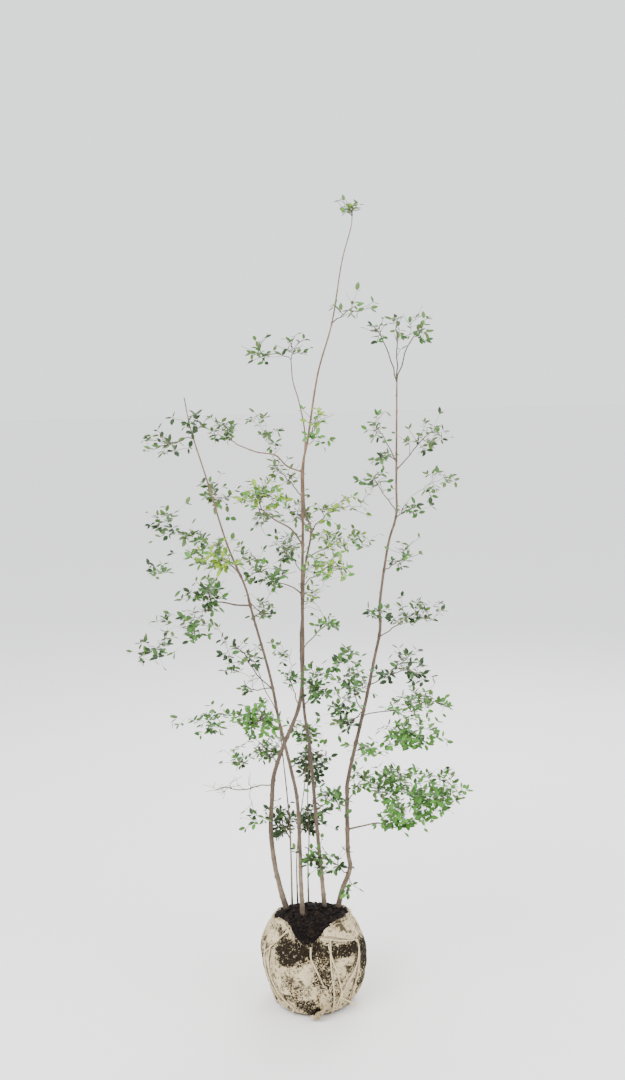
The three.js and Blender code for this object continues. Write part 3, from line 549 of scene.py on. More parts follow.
def at_height(limb, height):
    """The place, way and radius of a limb at a height."""
    k = int(np.argmax(limb["at"][:, 2] >= height))
    if k == 0:
        raise RuntimeError(f"{limb['name']} doesn't pass the height {height}")
    low, high = limb["at"][k - 1], limb["at"][k]
    share = (height - low[2]) / (high[2] - low[2])
    radius = blend(limb["radius"][k - 1], limb["radius"][k], share)
    return blend(low, high, share), limb["way"][k], radius


def grow_limbs():
    """Every stem, sucker and bough, in the order in which they grow."""
    limbs = {}
    for name, radii, route in STEMS:
        x, y, _ = route[0]
        places = [np.array([x, y, SOIL_LEVEL - FOOT_SUNK])] + [deepened(place) for place in route[1:]]
        limbs[name] = make_limb(name, places, radii, FLARE_SHARE)
    for name, on, radii, route in BOUGHS:
        places = [deepened(place) for place in route]
        start = at_height(limbs[on], places[0][2])[0]
        limbs[name] = make_limb(name, [start] + places[1:], radii, 0.0, 3.0)
        limbs[on]["collars"].append((start, radii[0]))
    for _, on, height, _ in MASSES:
        if height is not None:
            limbs[on]["collars"].append((at_height(limbs[on], height)[0], TWIG_COLLAR))
    return limbs


def limb_skin(limb, sides, relief, ring_spacing):
    """The radius all round a limb at each station, with ridges, rings, collars and root flare."""
    at, run = limb["at"], limb["run"]
    turn = np.arange(sides) / sides * TURN
    seed = sum(map(ord, limb["name"])) % 97
    grids = np.broadcast_arrays(1.1 * np.cos(turn), 1.1 * np.sin(turn), run[:, None])
    x, y, z = (grid.ravel() for grid in grids)
    ridge = cloud(rows_of(x, y, z / RIDGE_RUN), 1, seed, (1, 0, 0))
    grain = cloud(rows_of(3 * x, 3 * y, z / GRAIN_RUN + seed), 1)
    rough = 1 + relief * (1.4 * ridge + 0.7 * grain)
    skin = limb["radius"][:, None] * rough.reshape(-1, sides)
    draw = random_stream(seed + 11)
    ring = ring_spacing * (0.5 + draw())
    while ring < run[-1]:
        skin *= (1 + 0.13 * hump(run - ring, 2.2))[:, None]
        knot = wrapped(turn - draw() * TURN)
        skin *= 1 + 0.32 * hump(run - ring - 2, 3.2)[:, None] * hump(knot, 0.6)
        ring += ring_spacing * (0.5 + draw())
    for place, branch in limb["collars"]:
        skin += (0.55 * branch * hump(np.linalg.norm(at - place, axis=1), 2.5 + branch))[:, None]
    if at[0][2] < SOIL_LEVEL + 10:
        skin *= 1 + 0.14 * np.exp(-run / 30)[:, None] * np.cos(5 * turn + seed)
    return skin


# The crown's rule of growth


class Crown:
    """All that stands in the crown so far, as segments that later growth keeps clear of."""

    def __init__(self, room=80000):
        self.a, self.b, self.middle = np.zeros((3, room, 3))
        self.reach, self.radius, self.owner = np.zeros((3, room))
        self.marks, self.count = {}, 0

    def mark(self, name):
        return self.marks.setdefault(name, len(self.marks) + 1)

    def add(self, points, radii, name):
        span = slice(self.count, self.count + len(points) - 1)
        self.a[span], self.b[span] = points[:-1], points[1:]
        self.middle[span] = (points[:-1] + points[1:]) / 2
        self.radius[span] = np.maximum(radii[:-1], radii[1:])
        self.reach[span] = np.linalg.norm(points[1:] - points[:-1], axis=1) / 2 + self.radius[span]
        self.owner[span] = self.mark(name)
        self.count = span.stop

    def is_clear(self, p, q, radius, name, grace=None):
        near = np.abs(self.middle[:self.count] - (p + q) / 2).max(axis=1)
        reach = np.linalg.norm(q - p) / 2 + radius + CLEAR
        close = np.flatnonzero(near < reach + self.reach[:self.count])
        others = (self.owner[close] != self.mark(name)) & (self.owner[close] != self.mark(grace))
        close = close[others]
        if not len(close):
            return True
        a, v = self.a[close], self.b[close] - self.a[close]
        u, w = q - p, p - a
        uu, uv, vv = u @ u, v @ u, np.einsum("ij,ij->i", v, v)
        uw, vw = w @ u, np.einsum("ij,ij->i", v, w)
        det = uu * vv - uv * uv
        s = np.clip((uv * vw - vv * uw) / np.where(det > 1e-9, det, 1e9), 0, 1)
        t = np.clip((uv * s + vw) / np.maximum(vv, 1e-9), 0, 1)
        s = np.clip((uv * t - uw) / max(uu, 1e-9), 0, 1)
        gap = np.linalg.norm(w + s[:, None] * u - t[:, None] * v, axis=1)
        return bool(np.all(gap > radius + self.radius[close] + CLEAR))


def space_point(centre, half, index, start):
    """However many of these points are taken, they fill the space evenly."""
    u, v, w = [(start[k] + (index + 1) * SPREAD[k]) % 1 for k in range(3)]
    radius, turn, rise = SPACE_FILL * u**0.33, v * TURN, 2 * w - 1
    level = math.sqrt(1 - rise * rise)
    return centre + half * radius * np.array([level * math.cos(turn), level * math.sin(turn), rise])


def twig_points(joint, target, end_way, bow, steps, draw):
    """A twig leaves along its parent, arrives along its own end's way, and kinks a little."""
    straight = target - joint["at"]
    length = np.linalg.norm(straight)
    leave = unit(0.6 * straight / length + 0.5 * joint["way"])
    near = joint["at"] + leave * length * 0.35 + bow * length
    far = target - end_way * length * 0.3 + bow * length
    t = np.linspace(0, 1, steps + 1)[:, None]
    points = (
        (1 - t) ** 3 * joint["at"] + 3 * (1 - t) ** 2 * t * near
        + 3 * (1 - t) * t**2 * far + t**3 * target
    )
    kink = np.array([[draw() - 0.5 for _ in range(3)] for _ in range(steps + 1)])
    kink[0] = kink[-1] = 0
    return points + kink * min(length * 0.07, 5.0)


class Plant:
    """One mass of foliage while it grows: its joints, twigs and leaves. Its thrift is how much a
    long run back to the limb counts against a joint."""

    def __init__(self, crown, name, limb, draw, thrift):
        self.crown, self.name, self.limb, self.draw, self.thrift = crown, name, limb, draw, thrift
        self.joints, self.twigs, self.leaves = [], [], []

    def grow_twig(self, target, end_way, kind, joints=None):
        """A twig from the nearest joint with a clear way to the target, or None."""
        joints = joints or self.joints
        away = np.array([np.linalg.norm(joint["at"] - target) for joint in joints])
        cost = away + self.thrift * np.array([joint["run"] for joint in joints])
        near = [joints[k] for k in np.argsort(cost)[:JOINTS_TRIED] if away[k] >= TWIG_LEAST]
        for joint, bow in itertools.product(near, BOWS):
            points = twig_points(joint, target, end_way, bow, kind["steps"], self.draw)
            start = min(kind["start"], joint["radius"] * 0.92)
            radii = np.linspace(start, min(start, kind["end"]), len(points))
            graces = [self.limb if joint["run"] == 0 and i < 2 else None for i in range(len(points) - 1)]
            if all(
                self.crown.is_clear(p, q, radius, self.name, grace)
                for p, q, radius, grace in zip(points, points[1:], radii[1:], graces)
            ):
                return self.keep_twig(points, radii, joint)
        return None

    def keep_twig(self, points, radii, joint):
        self.crown.add(points, radii, self.name)
        way, run = ways_along(points), joint["run"]
        for i in range(1, len(points)):
            run += np.linalg.norm(points[i] - points[i - 1])
            self.joints.append({"at": points[i], "way": way[i], "radius": radii[i], "run": run})
        self.twigs.append({"at": points, "way": way, "radius": radii})
        return self.twigs[-1]

    def add_leaf(self, base, way, face, tone, share=1):
        """One leaf, laid nearly level, and left out where something else stands. Most leaves have
        the space's own tone, and some the next one."""
        size = (0.6 + 0.5 * self.draw() ** 0.8) * share
        drift = self.draw()
        if drift < (0, 0.24, 0.34, 0.42)[tone]:
            tone = max(DARK, tone - 1)
        elif drift > 0.9 and tone < FRESH:
            tone += 1
        face = unit(face + LEAF_LEVEL * UP)
        face = face - way * (face @ way)
        if np.linalg.norm(face) < 0.2:
            return
        blade = np.array([base + way * 6, base + way * (LEAF_REACH * size - 3)])
        if self.crown.is_clear(*blade, LEAF_HALF, self.name):
            self.crown.add(blade, np.full(2, LEAF_HALF), self.name)
            self.leaves.append((base, way, unit(face), size, tone))

    def grow_whorl(self, twig, least, most, tone):
        """Leaves that spread from one point at a twig's end."""
        draw = self.draw
        end, way = twig["at"][-1], twig["way"][-1]
        side, spin = square_to(way)
        count = least + int(draw() * (most - least + 1))
        first = draw() * TURN
        level = blend(0.62, 1, smooth(0.5, 0.8, way[2]))
        for i in range(count):
            turn = first + (i + 0.5 * draw()) / count * TURN
            splay = 0.95 + (draw() - 0.5) * 1.1
            out = side * math.cos(turn) + spin * math.sin(turn)
            leaf_way = unit((way * math.cos(splay) + out * math.sin(splay)) * (1, 1, level))
            face = way * math.sin(splay) - out * math.cos(splay)
            self.add_leaf(end - way * 0.6, leaf_way, face, tone)

    def grow_side_leaves(self, twig, tone):
        """Single leaves that alternate along the outer half of a twig."""
        draw = self.draw
        hand = 1 if draw() < 0.5 else -1
        for share in LEAF_STANDS:
            if draw() > LEAF_CHANCE:
                continue
            k = int(share * (len(twig["at"]) - 1))
            way = twig["way"][k]
            side = unit(np.cross(way, UP) + 0.4 * (draw() - 0.5) * UP)
            hand = -hand
            leaf_way = unit(0.55 * way + hand * side + 0.3 * (draw() - 0.3) * UP)
            self.add_leaf(twig["at"][k], leaf_way, UP, tone, 0.92)

    def grow_shoots(self, twig, tone, leafy):
        """Short side shoots from the outer part of a twig, the finest of the growth."""
        draw = self.draw
        for share in SHOOT_STANDS:
            if draw() > SHOOT_CHANCE:
                continue
            k = max(1, int(share * (len(twig["at"]) - 1)))
            at, way, radius = (twig[key][k] for key in ("at", "way", "radius"))
            side = unit(np.cross(way, np.array([draw() - 0.5, draw() - 0.5, 1.0])))
            side = side if draw() < 0.5 else -side
            shoot_way = unit(0.75 * way + 0.8 * side + 0.25 * UP)
            joint = {"at": at, "way": way, "radius": radius, "run": 1.0}
            target = at + shoot_way * (SHOOT_LEAST + SHOOT_MORE * draw())
            shoot = self.grow_twig(target, shoot_way, SHOOT, [joint])
            if shoot and leafy and draw() < SHOOT_LEAFY:
                self.grow_whorl(shoot, 1, 3, tone)


def grow_mass(crown, mass, index, limbs, leaves_per_twig):
    """A twig to each space in turn, then twigs to points all through it, each from the nearest
    joint, with side shoots and leaves. A mass at a stem's tip fans out from that one point."""
    name, on, height, spaces = mass
    limb = limbs[on]
    draw = random_stream(7919 * (index + 1))
    if height is None:
        foot, way, radius = limb["at"][-1], limb["way"][-1], limb["radius"][-1]
    else:
        foot, way, radius = at_height(limb, height)
        way, radius = unit(deepened(spaces[0][:3]) - foot), min(STALK["start"], radius)
    fanned = height is None and on.startswith("stem")
    plant = Plant(crown, f"spray_{name}", on, draw, 0.95 if fanned else 0.35)
    plant.joints.append({"at": foot, "way": way, "radius": radius, "run": 0.0})
    for *place, leaves, tone in spaces:
        start = [draw(), draw(), draw()]
        middle, half = deepened(place[:3]), np.array(place[3:], float) * (1, DEPTH_HALVES, 1)
        outward = (middle - foot) * (1, 1, 0) / np.linalg.norm(middle - foot)
        origin = plant.joints[:1] if fanned else None
        stalk = plant.grow_twig(middle, unit(outward + 0.35 * UP), STALK, origin)
        leafy = leaves > 0
        if stalk:
            plant.grow_shoots(stalk, tone, leafy)
            if leafy:
                plant.grow_whorl(stalk, 2, 4, tone)
        fuller = 1 + FULLER * smooth(FULL_FROM, FULL_BELOW, middle[2])
        count = int(round(leaves * fuller / leaves_per_twig)) if leafy else BARE_TWIGS
        targets = [space_point(middle, half, i, start) for i in range(count)]
        for target in sorted(targets, key=lambda target: np.linalg.norm(target - foot)):
            target = blend(target, foot, 0.55 * max(0.0, draw() - 0.35))
            end_way = unit(outward + unit(target - middle) + 0.5 * UP)
            twig = plant.grow_twig(target, end_way, TWIG)
            if twig:
                plant.grow_shoots(twig, tone, leafy)
            if twig and leafy:
                plant.grow_whorl(twig, 2, 4, tone)
                plant.grow_side_leaves(twig, tone)
    return plant


def leaf_pattern():
    """One leaf of unit length and width: its points with their share of the thickness, then its
    quads and its triangles, each with where it is on the underside."""
    along = np.array([0.0, 0.12, 0.28, 0.46, 0.64, 0.82, 1.0])
    width = np.array([0.05, 0.07, 0.76, 1.0, 0.95, 0.64, 0.0])
    droop = -0.16 * along**2 + 0.05 * along
    fold = droop - 0.4 * (0.2 * width)
    points, quads, tris = [], [], []
    last = len(along) - 2
    tip = 4 * (last + 1)
    for k in range(last + 1):
        x, y = along[k], width[k] / 2
        points += [(x, 0, fold[k], 0.5), (x, y, droop[k], 0), (x, 0, fold[k], -0.5), (x, -y, droop[k], 0)]
        for i in (0, 3, 1, 2):
            a, b = 4 * k + i, 4 * k + (i + 1) % 4
            if k < last:
                quads.append((b, a, a + 4, b + 4) if i % 2 else (a, a + 4, b + 4, b))
            else:
                tris.append((b, a, tip) if i % 2 else (a, tip, b))
    points.append((along[-1], 0, droop[-1], 0))
    quads.append((0, 1, 2, 3))
    below = [False, False, True, True]
    return (
        np.array(points), (np.array(quads), np.array(below * last + [True])),
        (np.array(tris), np.array(below)),
    )


def add_leaves(heap, leaves, length, width, thickness):
    """Joins leaves into the heap. The slot of a face is its tone, or the underside's."""
    pattern, *parts = leaf_pattern()
    base, way, face = (np.array([leaf[k] for leaf in leaves])[:, None] for k in range(3))
    size, tone = (np.array([leaf[k] for leaf in leaves])[:, None] for k in (3, 4))
    size = size[..., None]
    x, y, z, skin = (pattern[:, k][None, :, None] for k in range(4))
    points = (
        base + way * x * length * size + np.cross(face, way) * y * width * size
        + face * (z * length * size + skin * thickness)
    )
    uv = np.stack([pattern[:, 1] + 0.5, pattern[:, 0]], axis=1)
    shift = np.arange(len(leaves))[:, None, None] * len(pattern)
    heap.add(points.reshape(-1, 3), *(
        ((faces + shift).reshape(-1, faces.shape[1]), np.tile(uv[faces], (len(leaves), 1, 1)),
         np.where(below, UNDER, tone).ravel())
        for faces, below in parts
    ))


# Materials


class Wiring:
    """Adds and joins the nodes of a material or a node group."""

    def __init__(self, tree):
        self.tree = tree

    def put(self, socket, value):
        if isinstance(value, bpy.types.NodeSocket):
            self.tree.links.new(value, socket)
        else:
            socket.default_value = (*value, 1) if socket.type == "RGBA" else value

    def node(self, kind, inputs, **settings):
        """Adds a node with its settings and inputs, and gives back its outputs."""
        made = self.tree.nodes.new(f"ShaderNode{kind}")
        for name, value in settings.items():
            setattr(made, name, value)
        for name, value in inputs.items():
            self.put(made.inputs[name], value)
        return made.outputs

    def group(self, name, *inputs):
        """Places a shared group with its inputs in order."""
        return self.node("Group", dict(enumerate(inputs)), node_tree=shared_group(name))

    def sum(self, operation, *terms):
        return self.node("Math", dict(enumerate(terms)), operation=operation)[0]

    def times(self, a, b):
        return self.sum("MULTIPLY", a, b)

    def plus(self, a, b):
        return self.sum("ADD", a, b)

    def minus(self, a, b):
        return self.sum("SUBTRACT", a, b)

    def mix(self, share, a, b, depth=1):
        """From a to b by the share, of which b takes only that depth."""
        share = share if depth == 1 else self.times(share, depth)
        return self.node("Mix", {0: share, 6: a, 7: b}, data_type="RGBA")[2]

    def between(self, value, low, high, to_low=0.0, to_high=1.0):
        inputs = dict(enumerate((value, low, high, to_low, to_high)))
        return self.node("MapRange", inputs, interpolation_type="SMOOTHSTEP")[0]

    def noise(self, place, scale, detail=3.0, roughness=0.55):
        inputs = {"Vector": place, "Scale": scale, "Detail": detail, "Roughness": roughness}
        return self.node("TexNoise", inputs)[0]

    def stretched(self, place, scale):
        return self.node("Mapping", {0: place, "Scale": scale}, vector_type="POINT")[0]

    def parts(self, vector):
        return self.node("SeparateXYZ", {0: vector})

    def uv(self):
        return self.node("UVMap", {}, uv_map="UVMap")[0]

    def mottle(self, scale, middle, softness):
        return self.group("Mottle", self.place, scale, middle, softness)[0]

    def finish(self, colour, height=None, depth=0.0, gloss=None):
        """Joins the colour and the relief to the material's own shader."""
        self.put(self.shader.inputs["Base Color"], colour)
        if height is not None:
            bump = self.node("Bump", {"Strength": 1.0, "Distance": depth, "Height": height})
            self.put(self.shader.inputs["Normal"], bump[0])
        if gloss is not None:
            self.put(self.shader.inputs["Specular IOR Level"], gloss)


def fill_mottle(w, place, scale, middle, softness):
    """Soft blotches: 0 and 1 with a noisy edge, as damp or worn places have."""
    broad = w.noise(place, scale, 5.0, 0.62)
    return [w.between(broad, w.minus(middle, softness), w.plus(middle, softness))]


def fill_weave(w, place, threads):
    """Plain weave of rough threads: their height, and the gaps between them, where the burlap paints
    shade.
    """
    wander = w.node("TexNoise", {"Vector": place, "Scale": 60.0, "Detail": 2.0})[1]
    shift = w.node("VectorMath", {0: wander, 1: (0.0016,) * 3, 2: place}, operation="MULTIPLY_ADD")
    parts, turns = w.parts(shift[0]), w.times(threads, math.pi)
    across, along = w.times(parts[0], turns), w.times(parts[1], turns)
    warp, weft = (w.sum("ABSOLUTE", w.sum("SINE", angle)) for angle in (across, along))
    pick = w.between(w.times(w.sum("COSINE", across), w.sum("COSINE", along)), -0.25, 0.25)
    height = w.plus(w.times(warp, pick), w.times(weft, w.minus(1.0, pick)))
    return [height, w.between(w.times(warp, weft), 0.28, 0.04)]


def fill_grain(w, place, stretch, scale):
    """Fine streaks along one direction, as bark and fibres have."""
    drawn = w.stretched(place, stretch)
    streak = w.between(w.noise(drawn, scale, 4.0, 0.6), 0.32, 0.7)
    return [streak, w.noise(drawn, w.times(scale, 4.3), 3.0, 0.6)]


# Shared groups: what fills each, its inputs and its outputs
GROUPS = {
    "Mottle": (fill_mottle, ["Vector", "Scale", "Middle", "Softness"], ["Mask"]),
    "Weave": (fill_weave, ["Vector", "Threads"], ["Height", "Gap"]),
    "Grain": (fill_grain, ["Vector", "Stretch", "Scale"], ["Streak", "Fine"]),
}


def shared_group(name):
    """The node group of that name, filled when it's first asked for."""
    tree = bpy.data.node_groups.get(name)
    if not tree:
        fill, inputs, outputs = GROUPS[name]
        tree = bpy.data.node_groups.new(name, "ShaderNodeTree")
        for words, way in ((inputs, "INPUT"), (outputs, "OUTPUT")):
            for word in words:
                kind = "NodeSocketVector" if word in ("Vector", "Stretch") else "NodeSocketFloat"
                tree.interface.new_socket(name=word, in_out=way, socket_type=kind)
        w = Wiring(tree)
        start, end = tree.nodes.new("NodeGroupInput"), tree.nodes.new("NodeGroupOutput")
        for socket, value in zip(end.inputs, fill(w, *start.outputs[:len(inputs)])):
            w.put(socket, value)
    return tree


def painted(name, roughness, paint, *inks):
    """The material of that name, painted when it's first asked for."""
    material = bpy.data.materials.get(name)
    if not material:
        material = bpy.data.materials.new(name)
        material.use_nodes = True
        w = Wiring(material.node_tree)
        w.shader = material.node_tree.nodes["Principled BSDF"]
        w.shader.inputs["Roughness"].default_value = roughness
        w.place = w.node("TexCoord", {})["Object"]
        paint(w, *inks)
    return material


def dimmed(colour, share):
    return tuple(c * share for c in colour)


def paint_leaf(w, colour, freshness):
    """A leaf's upper side: its own tone, a paler midrib, faint side veins and soft blotches."""
    across, along, _ = w.parts(w.uv())
    side = w.sum("ABSOLUTE", w.minus(across, 0.5))
    rib = w.between(side, 0.06, 0.015)
    slant = w.minus(along, w.times(side, 0.55))
    veins = w.between(w.sum("SINE", w.times(slant, 44.0)), 0.72, 1.0)
    pale = tuple(min(1.0, c * 1.9 + 0.03) for c in colour)
    base = w.mix(w.mottle(38.0, 0.52, 0.16), colour, dimmed(colour, 0.52 + 0.2 * freshness))
    base = w.mix(veins, base, pale, 0.22)
    base = w.mix(rib, base, pale, 0.6)
    w.finish(base, w.plus(rib, w.times(veins, 0.5)), 0.00025, 0.35)


def paint_underside(w, colour):
    w.finish(w.mix(w.mottle(30.0, 0.5, 0.2), colour, dimmed(colour, 0.7)))


def paint_bark(w, inks):
    """Smooth young bark: mauve brown, paler at the feet and warmer high up, with streaks, dark
    patches, pale breathing pores and a splash of soil."""
    height = w.parts(w.place)[2]
    streak, fine = w.group("Grain", w.place, (1.0, 1.0, 0.12), 420.0)
    base = w.mix(w.between(height, 0.95, 1.5), inks.bark, inks.bark_warm)
    base = w.mix(w.between(height, 0.46, 0.25), base, inks.bark_pale, 0.75)
    base = w.mix(streak, base, inks.bark_dark, 0.55)
    base = w.mix(w.mottle(34.0, 0.5, 0.1), base, inks.bark_dark, 0.5)
    spots = {"Vector": w.stretched(w.place, (1.0, 1.0, 1.9)), "Scale": 150.0}
    pore = w.between(w.node("TexVoronoi", spots, feature="F1")[0], 0.2, 0.1)
    base = w.mix(pore, base, inks.bark_pale, 0.5)
    splash = w.sum("MULTIPLY_ADD", w.noise(w.place, 90.0), -0.03, height)
    base = w.mix(w.between(splash, 0.268, 0.23), base, inks.bark_dark, 0.8)
    w.put(w.shader.inputs["Roughness"], w.between(fine, 0.3, 0.7, 0.58, 0.86))
    w.finish(base, w.plus(w.times(pore, 0.6), w.plus(fine, w.times(streak, -0.5))), 0.0006)


def paint_twig(w, inks):
    """Thin twigs, brown with greener shoots."""
    streak, fine = w.group("Grain", w.place, (1.0, 1.0, 1.0), 300.0)
    base = w.mix(w.mottle(9.0, 0.56, 0.08), inks.twig, inks.twig_green, 0.6)
    w.finish(w.mix(streak, base, inks.bark_dark, 0.4), fine, 0.0002)


def paint_soil(w, inks):
    """Moist dark soil with drier crumbs and a little damp shine."""
    dry = w.mottle(55.0, 0.58, 0.12)
    grit = w.noise(w.place, 520.0, 4.0, 0.7)
    base = w.mix(dry, inks.soil, inks.soil_dry, 0.7)
    base = w.mix(w.between(grit, 0.6, 0.72, 0.0, 0.5), base, inks.soil_dry)
    w.put(w.shader.inputs["Roughness"], w.between(dry, 0.0, 1.0, 0.72, 0.97))
    w.finish(base, w.plus(grit, w.noise(w.place, 160.0)), 0.0012, 0.14)


def paint_burlap(w, inks):
    """Rough plain weave with painted shade in the gaps between its threads, worn in patches, and darkened
    where the attribute says, with soil stains and with painted shade and shadow.
    """
    threads, gap = w.group("Weave", w.uv(), 520.0)
    soaked = w.node("Attribute", {}, attribute_name="soaked")["Fac"]
    flecks = w.between(w.noise(w.place, 230.0, 3.0, 0.7), 0.36, 0.64)
    base = w.mix(w.mottle(24.0, 0.5, 0.14), inks.cloth, inks.cloth_shade, 0.55)
    # Painted shade in the gaps between the threads
    base = w.mix(gap, base, dimmed(inks.cloth_shade, 0.35), 0.55)
    deep = w.between(w.sum("MULTIPLY_ADD", w.minus(flecks, 0.5), 0.75, soaked), 0.36, 0.58)
    held = w.sum("MULTIPLY_ADD", w.mottle(200.0, 0.61, 0.03), -0.62, 0.98)
    dirt, specks = w.mottle(36.0, 0.575, 0.04), w.mottle(125.0, 0.6, 0.04)
    spots = w.sum("MAXIMUM", w.times(dirt, 0.86), w.times(specks, 0.7))
    # Soil stains and painted shade take the same dark colour where the attribute says
    mud_and_shade = w.mix(w.mottle(170.0, 0.56, 0.1), inks.stain_and_shade, dimmed(inks.cloth_shade, 0.17), 0.2)
    base = w.mix(w.sum("MAXIMUM", w.times(deep, held), spots), base, mud_and_shade)
    w.finish(base, w.plus(threads, w.times(flecks, 0.3)), 0.0005, 0.06)


def paint_twine(w, inks):
    """Pale fibres laid in two twisted strands, with painted shade in the grooves between them, soiled in
    places.
    """
    uv = w.uv()
    streak, fine = w.group("Grain", uv, (6.0, 60.0, 1.0), 3.0)
    across, along, _ = w.parts(uv)
    turns = w.sum("MULTIPLY_ADD", along, -620.0, w.times(across, 2 * TURN))
    groove = w.between(w.sum("ABSOLUTE", w.sum("COSINE", w.times(turns, 0.5))), 0.5, 0.0)
    base = w.mix(streak, inks.twine, inks.twine_shade, 0.6)
    # Painted shade in the grooves between the strands
    base = w.mix(groove, base, inks.twine_shade, 0.55)
    base = w.mix(w.mottle(30.0, 0.6, 0.06), base, inks.stain_and_shade, 0.55)
    w.finish(base, w.minus(fine, groove), 0.0004)


# The ball's form


def ball_radius(height):
    return np.interp(height, *zip(*BALL_PROFILE))


def wall_radius(bearing, height):
    """The tied ball's smooth form, with its lobes and the pleats of the gathered cloth."""
    lobes = 3.2 * np.sin(3 * bearing + 0.6 + height / 70) + 2.0 * np.sin(5 * bearing + 1.9 - height / 50)
    pleats = 1.8 * np.sin(8 * bearing) * smooth(190, RIM_HEIGHT, height)
    return ball_radius(height) + smooth(0, 60, height) * lobes + pleats


def gape(bearing, wide):
    """1 in the middle of the gape, and soon 0 past that width."""
    return hump(wrapped(bearing - GAPE_BEARING), wide)


def behind(y):
    """How far the top of the ball has fallen away at a place behind the stems."""
    return 0.2 * (y - 8 + np.sqrt((y - 8) ** 2 + 100))


def rim_height(bearing):
    wavy = CLOTH_TOP + 4 * np.sin(4 * bearing - 2)
    return wavy - GAPE_DEPTH * gape(bearing, GAPE_WIDTH) - behind(106 * np.sin(bearing))


def round_ball(bearing, radius, height):
    """Places at bearings and distances from the ball's axis."""
    return np.stack([radius * np.cos(bearing), radius * np.sin(bearing), height + 0 * bearing], axis=-1)


def on_wall(bearing, height, out=0.0):
    """A place on the ball's wall, and so far out from it."""
    return round_ball(bearing, wall_radius(bearing, height) + out, height)


def on_cloth(bearing, height, out=0.0):
    """A place on the wall, kept under the cloth's rim."""
    return on_wall(bearing, np.minimum(height, rim_height(bearing) - 5), out)


def soil_top(x, y):
    """The height of the soil between the stems, and where it spills down the gape."""
    away = np.hypot(x, y)
    mound = bpy.context.scene.sapling_ball.soil_rise / MM
    spill = 32 * gape(np.arctan2(y, x), 0.5) * smooth(38, 98, away)
    return SOIL_PEAK + mound - SOIL_FALL * (away / 90) ** 2 - spill - behind(y)


# The twine's own mesh: how far apart its stations are, its sides, and how fast its strands turn
TWINE_STEP, TWINE_SIDES, TWINE_LAY = 1.4, 10, 0.62
# Five loops of it beside the axis, a hoop under the rim, and the loops' heights on the wall, at the
# foot's edge and under it
LOOPS, LOOP_OFFSET, HOOP_HEIGHT, EDGE_HEIGHT, UNDER_HEIGHT = 5, 19, 226, 8.6, 2.4
LOOP_HEIGHTS = (226, 205, 180, 150, 115, 80, 48, 24)
# How far the loop left of the gape is pulled round, at each of those heights
PULLED_LOOP, PULL = (4, 1), (-0.1, -0.25, -0.45, -0.47, -0.43, -0.3, -0.1, 0.08)
# Single strands, as bearings and heights on the wall
STRANDS = [
    [(-2.9, 214), (-2.6, 226), (-2.3, 233), (-2.1, 222)],
    [(-2.24, 212), (-2.42, 190), (-2.6, 166), (-2.74, 148), (-2.8, 120), (-2.62, 80), (-2.42, 30)],
    [(-1.62, 196), (-1.62, 163), (-1.53, 138), (-1.45, 113), (-1.36, 84), (-1.29, 57), (-1.36, 30),
     (-1.46, 12)],
    [(-1.24, 190), (-1.19, 153), (-1.13, 130), (-1.09, 109), (-1.03, 82), (-0.98, 59), (-0.97, 22)],
    [(-1.38, 203), (-1.15, 198), (-0.95, 192), (-0.75, 187), (-0.56, 181), (-0.54, 166), (-0.6, 148),
     (-0.66, 128), (-0.78, 104), (-0.9, 82), (-0.99, 60), (-1.06, 30)],
    [(0.5, 214), (0.9, 196), (1.3, 184), (1.7, 190), (2.1, 206), (2.4, 222)],
    [(2.5, 212), (2.62, 170), (2.5, 120), (2.3, 70), (2.2, 20)],
    [(0.1, 204), (0.34, 160), (0.42, 110), (0.3, 60), (0.16, 18)],
]
# Where it's knotted, and the route of its loose end
KNOTS = [(-1.38, 203), (-0.56, 180), (-0.99, 60), (-2.24, 212), (2.4, 222)]
LOOSE_END = [(58, -92, 56), (66, -92, 48), (74, -89, 41), (83, -86, 35), (92, -86, 30), (100, -88, 26)]


def twine_lines(radius):
    """The places and ways of every run of twine."""
    routes = []
    reach = [FOOT_RADIUS + 12, FOOT_RADIUS - 3, FOOT_RADIUS - 16, 25]
    for index in range(LOOPS):
        normal = (index + 0.35) * math.pi / LOOPS
        sides = []
        for way in (1, -1):
            side = []
            for height, pull in zip(LOOP_HEIGHTS, PULL):
                turn = math.acos(LOOP_OFFSET / float(ball_radius(height)))
                drift = 0.03 * math.sin(height / 31 + index * 2.1)
                if (index, way) == PULLED_LOOP:
                    drift += pull
                lift = 0.5 if height > 40 else 1.6
                side.append(on_cloth(normal + way * turn + drift, height, radius + lift))
            sides.append(side)
        under = [
            round_ball(normal, LOOP_OFFSET, EDGE_HEIGHT if abs(along) > FOOT_RADIUS else UNDER_HEIGHT)
            + along * np.array([-math.sin(normal), math.cos(normal), 0])
            for along in reach + [-a for a in reversed(reach)]
        ]
        routes.append(sides[0] + under + sides[1][::-1])
    bearings = np.linspace(0, TURN, 49)[:-1]
    sunk = 9 * gape(bearings, 0.55)
    hoop = list(on_cloth(bearings, HOOP_HEIGHT + 2.5 * np.sin(3 * bearings), radius + 0.5 - sunk))
    routes.append(hoop + hoop[:1])
    routes += [[on_cloth(b, h, radius + 2.2) for b, h in strand] for strand in STRANDS]
    return [smooth_route(route, TWINE_STEP)[:2] for route in [*routes, LOOSE_END]]


# Soil


def crumb_pattern():
    """Twelve corners and twenty faces of a rough ball."""
    golden = (1 + 5**0.5) / 2
    corners = units(np.array([
        corner for a in (-1, 1) for b in (-golden, golden)
        for corner in ((0, a, b), (a, b, 0), (b, 0, a))
    ]))
    faces = []
    for i, j, k in itertools.combinations(range(12), 3):
        first, second, third = corners[[i, j, k]]
        edges = (first - second, second - third, third - first)
        if all(np.linalg.norm(edge) < 1.1 for edge in edges):
            outward = np.cross(second - first, third - first) @ (first + second + third) > 0
            faces.append((i, j, k) if outward else (i, k, j))
    return corners, np.array(faces)


CRUMB = crumb_pattern()
